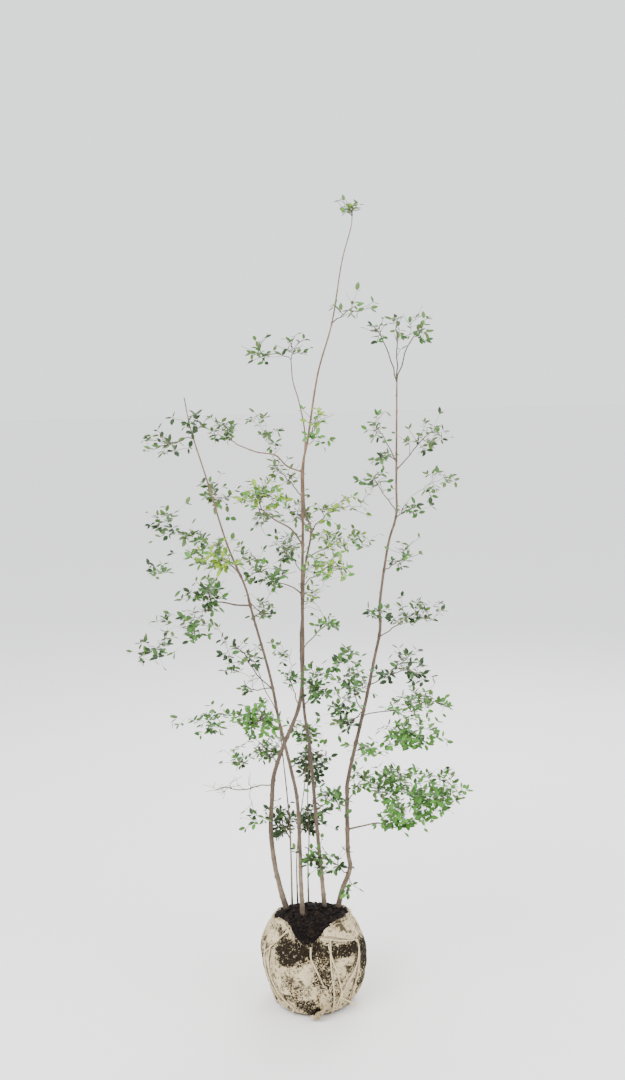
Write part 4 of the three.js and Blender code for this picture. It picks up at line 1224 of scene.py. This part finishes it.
# The sphere that becomes the soil: its grid, how much of it is the mound, and how much of the rest
# is the wall before the foot at its height
SOIL_COLUMNS, SOIL_ROWS, MOUND_SHARE, WALL_SHARE, SOIL_FOOT = 160, 96, 0.62, 0.8, 14
# How far inside the cloth the mound's rim and the wall are
RIM_INSIDE, WALL_INSIDE = 4.5, 5
# Crumbs: how many of them have spilled into the gape and how wide, and how many lie round a stem
SPILLED, SPILL_WIDTH, CRUMBS_ROUND_STEM = 0.36, 0.75, 22


def drop_crumb(heap, x, y, size, lift, draw):
    """One crumb of that size on the mound, sunk or lifted a little."""
    corners, faces = CRUMB
    at = np.array([x, y, float(soil_top(x, y)) + size * lift[0] + lift[1]])
    rough = np.array([0.72 + 0.5 * draw() for _ in range(12)])
    flat = np.array([1, 0.8 + 0.4 * draw(), 0.65 + 0.3 * draw()])
    heap.add(at + corners * rough[:, None] * flat * size, (faces, np.zeros((len(faces), 3, 2)), 0))


class SAPLING_OT_soil(bpy.types.Operator):
    """Adds the soil: a moist crumbling mound between the stems that spills down the gape"""

    bl_idname = "sapling.soil"
    bl_label = "Soil"

    def execute(self, context):
        settings = context.scene.sapling_ball
        soil = painted("Soil", 0.92, paint_soil, settings)
        self.add_mound(context, soil)
        self.add_crumbs(settings.crumbs, soil)
        return {"FINISHED"}

    def add_mound(self, context, soil):
        """A sphere pressed into the mound, the wall inside the cloth and the foot."""
        bpy.ops.object.select_all(action="DESELECT")
        bpy.ops.mesh.primitive_uv_sphere_add(segments=SOIL_COLUMNS, ring_count=SOIL_ROWS, radius=1)
        piece = context.object
        piece.name = "soil_mound"
        start = points_of(piece.data)
        polar = np.arccos(np.clip(start[:, 2], -1, 1)) / math.pi
        bearing = np.arctan2(start[:, 1], start[:, 0])
        lower = polar > MOUND_SHARE
        rim = wall_radius(bearing, np.minimum(rim_height(bearing) + 1, SOIL_LEVEL)) - RIM_INSIDE
        spread = rim * np.clip(polar / MOUND_SHARE, 0, 1) ** 0.9
        mound = round_ball(bearing, spread, soil_top(spread * np.cos(bearing), spread * np.sin(bearing)))
        down = np.clip((polar - MOUND_SHARE) / (1 - MOUND_SHARE), 0, 1)
        edge = soil_top(rim * np.cos(bearing), rim * np.sin(bearing))
        level = blend(edge, SOIL_FOOT, np.clip(down / WALL_SHARE, 0, 1))
        closing = np.clip((down - WALL_SHARE) / (1 - WALL_SHARE), 0, 1)
        reach = wall_radius(bearing, level) - WALL_INSIDE
        wall = round_ball(bearing, reach * (1 - closing), level)
        places = np.where(lower[:, None], wall, mound)
        lumps = 3.2 * cloud(places, 22, 1) + 2.6 * cloud(places, 8.5, 2) + 1.3 * cloud(places, 3.6, 3)
        places[:, 2] += np.where(lower, 0, lumps)
        places += round_ball(bearing, lumps * np.where(lower, 0.3, 0.5) * smooth(0, 0.1, polar), 0)
        piece.data.vertices.foreach_set("co", (places * MM).ravel())
        piece.data.update()
        pick_only(piece)
        bpy.ops.object.shade_smooth()
        piece.data.materials.append(soil)
        ready(piece, "soil", "root_ball_soil")

    def add_crumbs(self, number, soil):
        """Loose crumbs all over the mound, more of them in the gape and round the stems' feet."""
        crumbs = Heap()
        draw = random_stream(4021)
        for _ in range(number):
            turn, share = draw() * TURN, draw()
            spilled = draw() < SPILLED
            if spilled:
                turn = GAPE_BEARING + (draw() + draw() - 1) * SPILL_WIDTH
            reach = float(wall_radius(turn, rim_height(turn) - 6)) - 6
            away = reach * (0.6 + 0.42 * share if spilled else share**0.5)
            size = 0.9 + 4.4 * draw() ** 3
            drop_crumb(crumbs, away * math.cos(turn), away * math.sin(turn), size, (0.25, 1.0), draw)
        for _, (foot_radius, _), ((x, y, _), *_) in STEMS:
            for _ in range(CRUMBS_ROUND_STEM):
                turn, away = draw() * TURN, foot_radius * (1.15 + 0.9 * draw()) + 1.5
                size = 1.6 + 2.6 * draw()
                spot = x + away * math.cos(turn), y + away * math.sin(turn)
                drop_crumb(crumbs, *spot, size, (0.5, 1.5), draw)
        ready(crumbs.build("soil_crumbs", soil), "soil", "root_ball_soil")


# Burlap: where soil has soaked through or shows between the folds, and painted shadow along the
# ball's left edge, at its left foot and under the right flap, as bearing, height, half width, half
# height and depth of each
STAINS_AND_SHADOWS = [
    (-2.08, 172, 0.34, 31, 1.0), (-1.72, 184, 0.4, 30, 1.0), (-0.72, 168, 0.5, 15, 1.0),
    (-1.22, 172, 0.3, 20, 0.85), (-0.5, 150, 0.14, 26, 0.7),
    (-0.24, 128, 0.27, 50, 1.0), (-1.38, 124, 0.2, 50, 0.68), (-1.22, 66, 0.17, 30, 0.6),
    (-2.08, 58, 0.22, 14, 0.6), (-1.78, 36, 0.24, 22, 0.8), (-1.58, 20, 0.26, 16, 1.0),
    (-2.95, 110, 0.16, 40, 0.85), (-2.5, 204, 0.3, 14, 0.5), (-2.06, 100, 0.1, 12, 0.55),
    (-1.86, 78, 0.26, 20, 0.4), (-0.72, 128, 0.13, 13, 0.6), (-2.6, 56, 0.14, 30, 0.65),
    (-0.28, 64, 0.19, 30, 0.8), (0.3, 110, 0.26, 30, 0.6), (-2.95, 50, 0.2, 26, 0.6),
    (3.0, 150, 0.4, 34, 0.64), (2.5, 60, 0.4, 24, 0.62), (1.9, 170, 0.5, 22, 0.75),
    (1.4, 90, 0.34, 36, 0.62), (0.8, 140, 0.3, 30, 0.64), (0.55, 40, 0.4, 18, 0.6),
    (2.1, 24, 0.6, 14, 0.6), (0.2, 196, 0.24, 14, 0.55),
]
# Flaps of loose cloth: the edge where each hangs on, and its free edge, as bearing and height
FLAPS = [
    ((-1.28, 224), (-0.42, 228), (-1.32, 208), (-0.48, 186)),
    ((-2.98, 226), (-2.3, 230), (-2.84, 172), (-2.38, 184)),
    ((0.5, 228), (1.3, 232), (0.62, 196), (1.2, 186)),
    ((2.0, 232), (2.8, 228), (2.2, 190), (2.7, 204)),
    ((-1.5, 92), (-1.2, 96), (-1.46, 34), (-1.28, 26)),
]
# The route of the cloth's twisted end, its sides, and where along it the knot is
TAIL = [(36, -104, 64), (33, -113, 52), (26, -117, 39), (17, -117, 26), (5, -114, 14), (-7, -110, 9)]
TAIL_SIDES, KNOT_SHARE = 26, 0.76
# The grid of a flap, and that of the wrap: its columns, and its rows under the ball, up the wall and
# over the rim, with how far each of those last rows lies inwards of the wall's top and above it
FLAP_COLUMNS, FLAP_ROWS = 36, 30
COLUMNS, UNDER_ROWS, WALL_ROWS = 256, 9, 108
LIP_IN, LIP_UP = np.array([(0, 1.2, 3.2, 5.4, 7.2, 8.6), (0, 1.4, 1.0, -2.5, -7.0, -12.0)])
# How high the wrap's foot lies, and points nearer than this become one where its grid's sides meet
FOOT_LOW, WELD = 0.35, 0.00002
# Frayed threads along the rim and on each flap, and their least length and how much more
RIM_THREADS, FLAP_THREADS, THREAD_LEAST, THREAD_MORE = 150, 16, 4, 11


def stain_and_shadow_at(bearing, height, places):
    """How deeply soil has soaked in at each place, with the painted shadows of the list, 0 to 1."""
    soaked = np.zeros(len(places))
    ragged = 0.34 * cloud(places, 16, 8) + 0.3 * cloud(places, 6, 9)
    unseen = smooth(-0.3, 0.3, np.sin(bearing))
    ragged += unseen * (0.75 * cloud(places, 30, 10) + 0.4 * cloud(places, 11, 14))
    for b, h, wide, tall, depth in STAINS_AND_SHADOWS:
        away = wrapped(bearing - b) / wide
        far = np.sqrt(away**2 + ((height - h) / tall) ** 2) + ragged
        soaked = np.maximum(soaked, depth * smooth(1.3, 0.66, far))
    return soaked


def crease_lines(places):
    """Sharp creases where the cloth folds into itself, 0 to 1 at each place."""
    long_ones = smooth(0.1, 0.0, np.abs(cloud(places * (1, 1, 0.2), 21, 41)))
    short_ones = smooth(0.1, 0.0, np.abs(cloud(places * (1, 1, 0.35), 11, 42)))
    some = smooth(-0.1, 0.3, cloud(places, 34, 43))
    return np.maximum(long_ones * smooth(-0.4, 0.1, cloud(places, 40, 45)), 0.7 * short_ones * some)


def cloth_relief(bearing, height, places, near, settings):
    """How far the cloth stands out of the ball's smooth form: it swells between the strands,
    is pinched under them, and is creased all over."""
    crease = settings.crease / MM
    swell = settings.cloth_bulge / MM * (1 - hump(near, 15)) - 0.9 * hump(near, 3.4)
    warp = cloud(places, 42, 4) * 2.2
    ridge = 1 - 2.4 * np.abs(cloud(places * (1, 1, 0.42), 17, 5))
    folds = np.abs(np.sin(9 * bearing + warp + height / 90))
    pleats = 2.4 * smooth(175, 232, height) * np.sin(26 * bearing + 2.0 * warp)
    free = smooth(1.5, 9, near)
    creased = crease * (0.55 * ridge + 0.42 * folds - 0.5) + 0.5 * cloud(places, 5.5, 6)
    out = swell + free * creased + pleats * (0.35 + 0.65 * free)
    out -= 0.5 * crease * free * crease_lines(places)
    return out * smooth(2, 26, height)


def near_twine(places, radius):
    """How far each place is from the nearest run of twine."""
    lines = np.vstack([at for at, _ in twine_lines(radius)])
    tree = kdtree.KDTree(len(lines))
    for index, at in enumerate(lines):
        tree.insert(Vector(at), index)
    tree.balance()
    return np.array([tree.find(Vector(place))[2] for place in places])


def new_sheet(name, columns, rows):
    """A flat grid to make a sheet from, and how far across and up it each point is, 0 to 1."""
    bpy.ops.object.select_all(action="DESELECT")
    bpy.ops.mesh.primitive_grid_add(x_subdivisions=columns, y_subdivisions=rows, size=1)
    piece = bpy.context.object
    piece.name = name
    across, up, _ = points_of(piece.data).T + 0.5
    return piece, across, up


def mark_stain_and_shade(piece, values):
    layer = piece.data.attributes.new("soaked", "FLOAT", "POINT")
    layer.data.foreach_set("value", np.asarray(values, np.float32))


def bend_sheet(piece, places, uvs, soaked, settings, closed):
    """Puts a sheet's points in place, turns its faces outwards and gives it its thickness, inwards,
    and its finish."""
    mesh = piece.data
    mesh.vertices.foreach_set("co", (places * MM).ravel())
    corners = np.zeros(len(mesh.loops), int)
    mesh.loops.foreach_get("vertex_index", corners)
    layer = mesh.uv_layers.get("UVMap") or mesh.uv_layers.new(name="UVMap")
    layer.data.foreach_set("uv", uvs[corners].ravel())
    mark_stain_and_shade(piece, soaked)
    mesh.update()
    pick_only(piece)
    bpy.ops.object.mode_set(mode="EDIT")
    bpy.ops.mesh.select_all(action="SELECT")
    if closed:
        bpy.ops.mesh.remove_doubles(threshold=WELD)
        bpy.ops.mesh.normals_make_consistent(inside=False)
    else:
        bpy.ops.mesh.flip_normals()
    bpy.ops.object.mode_set(mode="OBJECT")
    thick = piece.modifiers.new("Thickness", "SOLIDIFY")
    thick.thickness = settings.cloth_thickness
    thick.offset = -1
    bpy.ops.object.modifier_apply(modifier="Thickness")
    bpy.ops.object.shade_smooth()
    mesh.materials.clear()
    mesh.materials.append(burlap(settings))
    ready(piece, "burlap", "burlap_wrap")


def burlap(settings):
    return painted("Burlap", 0.96, paint_burlap, settings)


def twine(settings):
    return painted("Twine", 0.93, paint_twine, settings)


class SAPLING_OT_burlap(bpy.types.Operator):
    """Adds the burlap: the creased wrap, its loose flaps, its twisted tail and frayed threads"""

    bl_idname = "sapling.burlap"
    bl_label = "Burlap"

    def execute(self, context):
        settings = context.scene.sapling_ball
        self.add_wrap(settings)
        for number, edges in enumerate(FLAPS):
            self.add_flap(number, edges, settings)
        self.add_tail(settings)
        self.add_threads(settings)
        return {"FINISHED"}

    def add_wrap(self, settings):
        """A grid wound into the wrap: under the ball, up its wall, and over the rim."""
        top = UNDER_ROWS + WALL_ROWS - 1
        last = top + len(LIP_IN) - 1
        piece, across, up = new_sheet("burlap_cloth", COLUMNS, last)
        bearing, row = across * TURN - math.pi, np.rint(up * last)
        level = np.clip((row - UNDER_ROWS) / (WALL_ROWS - 1), 0, 1) * RIM_HEIGHT
        share = np.clip((level - GAPE_FROM) / (RIM_HEIGHT - GAPE_FROM), 0, 1)
        rim = rim_height(bearing)
        height = np.where(share > 0, blend(GAPE_FROM, rim, share), level)
        below = row < UNDER_ROWS
        foot = FOOT_RADIUS * np.clip(row / UNDER_ROWS, 0, 1)
        radius = np.where(below, foot, wall_radius(bearing, height))
        places = round_ball(bearing, radius, height)
        near = near_twine(places, settings.twine_radius / MM)
        gaping, curl = gape(bearing, 0.6), smooth(-26, 0, height - rim)
        relief = cloth_relief(bearing, height, places, near, settings) + 3.5 * gaping * curl
        flat = places * (1, 1, 0)
        ragged = 3.2 * cloud(flat, 9, 12) + 1.6 * cloud(flat, 3, 13)
        over = np.clip(row - top, 0, None).astype(int)
        radius = radius + np.where(below, 0, relief) - LIP_IN[over]
        height = np.maximum(height + ragged * curl + LIP_UP[over], FOOT_LOW)
        height = np.where(below, FOOT_LOW + 3.6 * hump(near, 4.5), height)
        places = round_ball(bearing, radius, height)
        run = np.interp(row, (0, UNDER_ROWS - 1, UNDER_ROWS, top, last), (-0.08, 0, 0, 0.26, 0.28))
        soaked = np.max([
            stain_and_shadow_at(bearing, height, places),
            # Painted shade in the creases
            0.6 * crease_lines(places),
            # Painted shadow beside the twine's strands
            0.66 * hump(near - 2, 2.6) * smooth(-0.4, 0.1, cloud(places, 30, 44)),
            # Darker towards the foot
            0.8 * smooth(16, 2, height),
            0.75 * gaping * smooth(-12, -2, height - rim),
        ], axis=0)
        bend_sheet(piece, places, rows_of(across * 0.72, run), soaked, settings, closed=True)

    def add_flap(self, number, edges, settings):
        """A loose piece of cloth that hangs on by one edge and waves at the other."""
        piece, across, up = new_sheet(f"burlap_flap_{number + 1}", FLAP_COLUMNS, FLAP_ROWS)
        down = 1 - up
        held_a, held_b, free_a, free_b = (np.array(edge, float) for edge in edges)
        share = across[:, None]
        place = blend(blend(held_a, held_b, share), blend(free_a, free_b, share), down[:, None])
        wave = np.sin(across * 7 + number) * 0.5 + np.sin(across * 15 + 2 * number) * 0.22
        bearing = place[:, 0]
        height = np.minimum(place[:, 1] + down * 5 * wave, rim_height(bearing) + 3)
        flat, seed = on_wall(bearing, height), 20 + number
        out = 3.6 + 3.4 * down**1.5 + 1.7 * wave * down + 1.3 * cloud(flat, 11, seed)
        out -= 1.7 * smooth(0.16, 0, np.minimum(across, 1 - across)) * (1 - 0.6 * down)
        ragged = cloud(flat, 4, seed + 1) * 1.6 * smooth(0.85, 1, down)
        places = on_wall(bearing, height + ragged, out)
        soaked = 0.8 * stain_and_shadow_at(bearing, height, places) * smooth(0.9, 0.2, down)
        uvs = rows_of(bearing * 0.115, height * MM * 1.08)
        bend_sheet(piece, places, uvs, soaked, settings, closed=False)

    def add_tail(self, settings):
        """The cloth's twisted end in front, with its knot."""
        at, way, run = smooth_route(TAIL, 1.2)
        share = run / run[-1]
        turn = np.arange(TAIL_SIDES) / TAIL_SIDES * TURN
        girth = blend(6.0, 2.8, share) + 2.4 * hump(share - KNOT_SHARE, 0.1)
        girth = girth * (1 + 0.7 * smooth(0.84, 1, share))
        twist, lobe = 3 * turn - run[:, None] * 0.3, 7 * turn + share[:, None] * 9
        skin = girth[:, None] * (1 + 0.22 * np.cos(twist) + 0.08 * np.cos(lobe))
        heap = Heap()
        add_tube(heap, at, way, skin, TAIL_SIDES)
        middle = int(KNOT_SHARE * len(at))
        ahead = way[middle]
        side, spin = square_to(ahead)
        for shift in (-2.6, 2.8):
            centre = at[middle] + ahead * shift
            add_hoop(heap, centre, side, spin + ahead * 0.25, girth[middle] + 0.6, 1.5, 40, 9)
        piece = heap.build("burlap_tail", burlap(settings))
        mark_stain_and_shade(piece, np.full(len(piece.data.vertices), 0.12))
        shade_by_angle(piece, 60)
        ready(piece, "burlap", "burlap_wrap")

    def add_threads(self, settings):
        """Short frayed threads along the rim and the flaps' free edges."""
        draw = random_stream(977)
        heap = Heap()
        roots = []
        for _ in range(RIM_THREADS):
            bearing = draw() * TURN - math.pi
            roots.append((bearing, rim_height(bearing) + 1, 0.6))
        for _, _, free_a, free_b in FLAPS:
            for _ in range(FLAP_THREADS):
                bearing, height = blend(np.array(free_a), np.array(free_b), draw())
                roots.append((bearing, height + 2, 6.5))
        for bearing, height, out in roots:
            aim = np.array([math.cos(bearing), math.sin(bearing), 0]) * (0.5 + draw())
            aim = aim + np.array([draw() - 0.5, draw() - 0.5, (draw() - 0.62) * 2.0])
            length = THREAD_LEAST + THREAD_MORE * draw() ** 2
            t = np.linspace(0, 1, 6)[:, None]
            curl = np.array([draw() - 0.5, draw() - 0.5, draw() - 0.9]) * length
            points = on_wall(bearing, height, out) + unit(aim) * length * t + curl * t**2 * 0.6
            add_tube(heap, points, ways_along(points), np.linspace(0.34, 0.16, 6), 4)
        ready(heap.build("burlap_threads", twine(settings)), "burlap", "burlap_wrap")


class SAPLING_OT_twine(bpy.types.Operator):
    """Adds the twine: two twisted strands run round the ball, under it, and loose in front"""

    bl_idname = "sapling.twine"
    bl_label = "Twine"

    def execute(self, context):
        settings = context.scene.sapling_ball
        radius = settings.twine_radius / MM
        heap = Heap()
        turn = np.arange(TWINE_SIDES) / TWINE_SIDES * TURN
        for at, way in twine_lines(radius):
            lay = 2 * turn - np.arange(len(at))[:, None] * TWINE_STEP * TWINE_LAY
            worn = 1 + 0.12 * cloud(at, 14, 31)
            skin = radius * worn[:, None] * (0.9 + 0.2 * np.abs(np.cos(lay / 2)) ** 0.7)
            add_tube(heap, at, way, skin, TWINE_SIDES)
        draw = random_stream(55)
        for bearing, height in KNOTS:
            centre = on_cloth(bearing, height, radius + 2.6)
            for _ in range(3):
                tilt = unit(np.array([draw() - 0.5, draw() - 0.5, draw() - 0.5]))
                add_hoop(heap, centre, *square_to(tilt), radius * 1.5, radius * 0.85, 22, 8)
        piece = heap.build("twine_lashing", twine(settings))
        shade_by_angle(piece, 60)
        ready(piece, "twine", "binding_twine")
        return {"FINISHED"}


# Limbs and foliage

LIMB_SIDES = {"stem": 20, "sucker": 12, "bough": 12}
GROWN = {}


def stages_of_growth():
    """The limbs and plants, grown once and kept for every operator that needs them."""
    if not GROWN:
        limbs, crown = grow_limbs(), Crown()
        for limb in limbs.values():
            crown.add(limb["at"], limb["radius"], limb["name"])
        share = bpy.context.scene.sapling_foliage.leaves_per_twig
        plants = [grow_mass(crown, mass, i, limbs, share) for i, mass in enumerate(MASSES)]
        GROWN.update(limbs=limbs, plants=plants)
    return GROWN["limbs"], GROWN["plants"]


def add_limbs(context, rows):
    settings = context.scene.sapling_limbs
    limbs, _ = stages_of_growth()
    for name, *_ in rows:
        limb = limbs[name]
        sides = LIMB_SIDES[name.split("_")[0]]
        skin = limb_skin(limb, sides, settings.relief, settings.ring_spacing / MM)
        heap = Heap()
        add_tube(heap, limb["at"], limb["way"], skin, sides)
        piece = heap.build(f"bark_of_{name}", painted("Bark", 0.74, paint_bark, settings))
        shade_by_angle(piece, 50)
        ready(piece, "bark", name)


class SAPLING_OT_stems(bpy.types.Operator):
    """Adds the stems and suckers, with their bark's relief, rings and root flare"""

    bl_idname = "sapling.stems"
    bl_label = "Stems and Suckers"

    def execute(self, context):
        add_limbs(context, STEMS)
        return {"FINISHED"}


class SAPLING_OT_boughs(bpy.types.Operator):
    """Adds the boughs that leave the stems"""

    bl_idname = "sapling.boughs"
    bl_label = "Boughs"

    def execute(self, context):
        add_limbs(context, BOUGHS)
        return {"FINISHED"}


class SAPLING_OT_foliage(bpy.types.Operator):
    """Adds the twigs and leaves of every mass, joined by the stem or sucker that carries them"""

    bl_idname = "sapling.foliage"
    bl_label = "Twigs and Leaves"

    def execute(self, context):
        settings = context.scene.sapling_foliage
        carried = {name: on for name, on, _, _ in BOUGHS}
        areas = {}
        for plant in stages_of_growth()[1]:
            areas.setdefault(carried.get(plant.limb, plant.limb), []).append(plant)
        kinds = (("dark", 0.0), ("mid", 0.3), ("fresh", 0.7), ("bright", 1.0))
        tones = [
            painted(f"Leaf {kind}", 0.42, paint_leaf, getattr(settings, kind), freshness)
            for kind, freshness in kinds
        ]
        tones.append(painted("Leaf underside", 0.62, paint_underside, settings.under))
        bark = painted("Twig bark", 0.68, paint_twig, context.scene.sapling_limbs)
        sizes = (settings.leaf_length, settings.leaf_width, settings.leaf_thickness)
        for area, plants in areas.items():
            names = [plant.name for plant in plants]
            twigs, blades = Heap(), Heap()
            for twig in itertools.chain(*(plant.twigs for plant in plants)):
                add_tube(twigs, twig["at"], twig["way"], twig["radius"], 6)
            wood = twigs.build(f"twigs_on_{area}", bark)
            shade_by_angle(wood, 70)
            ready(wood, "bark", *names)
            leaves = [leaf for plant in plants for leaf in plant.leaves]
            add_leaves(blades, leaves, *(size / MM for size in sizes))
            piece = blades.build(f"leaves_on_{area}", *tones)
            shade_by_angle(piece, 55)
            ready(piece, "foliage", *names)
        return {"FINISHED"}


class SAPLING_OT_stage(bpy.types.Operator):
    """Adds the floor, the lights and the camera"""

    bl_idname = "sapling.stage"
    bl_label = "Stage"

    def execute(self, context):
        settings = context.scene.sapling_stage
        bpy.ops.object.select_all(action="DESELECT")
        bpy.ops.mesh.primitive_plane_add(size=160, location=(0, 0, 0))
        floor = context.object
        floor.name = "floor"
        floor.data.materials.append(painted("Floor", 0.9, Wiring.finish, settings.floor))
        world = bpy.data.worlds.new("Studio")
        world.use_nodes = True
        back = world.node_tree.nodes["Background"]
        back.inputs["Color"].default_value = (0.96, 0.98, 1.0, 1)
        back.inputs["Strength"].default_value = settings.sky
        context.scene.world = world
        for name, place, size, share in (
            ("key_light", (-1.9, -2.4, 3.3), 2.4, 1), ("fill_light", (2.6, -1.6, 2.0), 2.2, 0.3),
            ("back_light", (0.8, 2.6, 2.9), 2.0, 0.55),
        ):
            bpy.ops.object.light_add(type="AREA", location=place)
            lamp = context.object
            lamp.name = name
            lamp.data.size = size
            lamp.data.energy = settings.key * share
            aim = Vector((0, 0, 0.95)) - Vector(place)
            lamp.rotation_euler = aim.to_track_quat("-Z", "Y").to_euler()
        pitch, roll = settings.pitch, settings.roll
        ahead = Vector((0, math.cos(pitch), -math.sin(pitch)))
        up = Vector((0, math.sin(pitch), math.cos(pitch)))
        right = Vector((1, 0, 0))
        across = right * math.cos(roll) - up * math.sin(roll)
        above = up * math.cos(roll) + right * math.sin(roll)
        bpy.ops.object.camera_add(location=settings.eye)
        camera = context.object
        camera.name = "camera"
        camera.rotation_euler = Matrix((across, above, -ahead)).transposed().to_euler()
        camera.data.lens = settings.lens
        context.scene.camera = camera
        return {"FINISHED"}


class SAPLING_PT_panel(bpy.types.Panel):
    """Lists the sapling's operators and settings"""

    bl_idname = "SAPLING_PT_panel"
    bl_label = "Sapling"
    bl_space_type = "VIEW_3D"
    bl_region_type = "UI"
    bl_category = "Sapling"

    def draw(self, context):
        for operator in OPERATORS:
            self.layout.operator(operator.bl_idname)
        for group, kind in SETTINGS.items():
            box = self.layout.box()
            for name in kind.__annotations__:
                box.prop(getattr(context.scene, group), name)


OPERATORS = (
    SAPLING_OT_soil, SAPLING_OT_burlap, SAPLING_OT_twine, SAPLING_OT_stems, SAPLING_OT_boughs,
    SAPLING_OT_foliage, SAPLING_OT_stage,
)
SETTINGS = {
    "sapling_ball": SaplingBallSettings,
    "sapling_limbs": SaplingLimbSettings,
    "sapling_foliage": SaplingFoliageSettings,
    "sapling_stage": SaplingStageSettings,
}


def register():
    for group, kind in SETTINGS.items():
        bpy.utils.register_class(kind)
        setattr(bpy.types.Scene, group, bpy.props.PointerProperty(type=kind))
    for kind in (*OPERATORS, SAPLING_PT_panel):
        bpy.utils.register_class(kind)


def unregister():
    for kind in (SAPLING_PT_panel, *reversed(OPERATORS)):
        bpy.utils.unregister_class(kind)
    for group, kind in SETTINGS.items():
        delattr(bpy.types.Scene, group)
        bpy.utils.unregister_class(kind)


def main():
    register()
    bpy.ops.sapling.soil()
    bpy.ops.sapling.burlap()
    bpy.ops.sapling.twine()
    bpy.ops.sapling.stems()
    bpy.ops.sapling.boughs()
    bpy.ops.sapling.foliage()
    bpy.ops.sapling.stage()


if __name__ == "__main__":
    main()
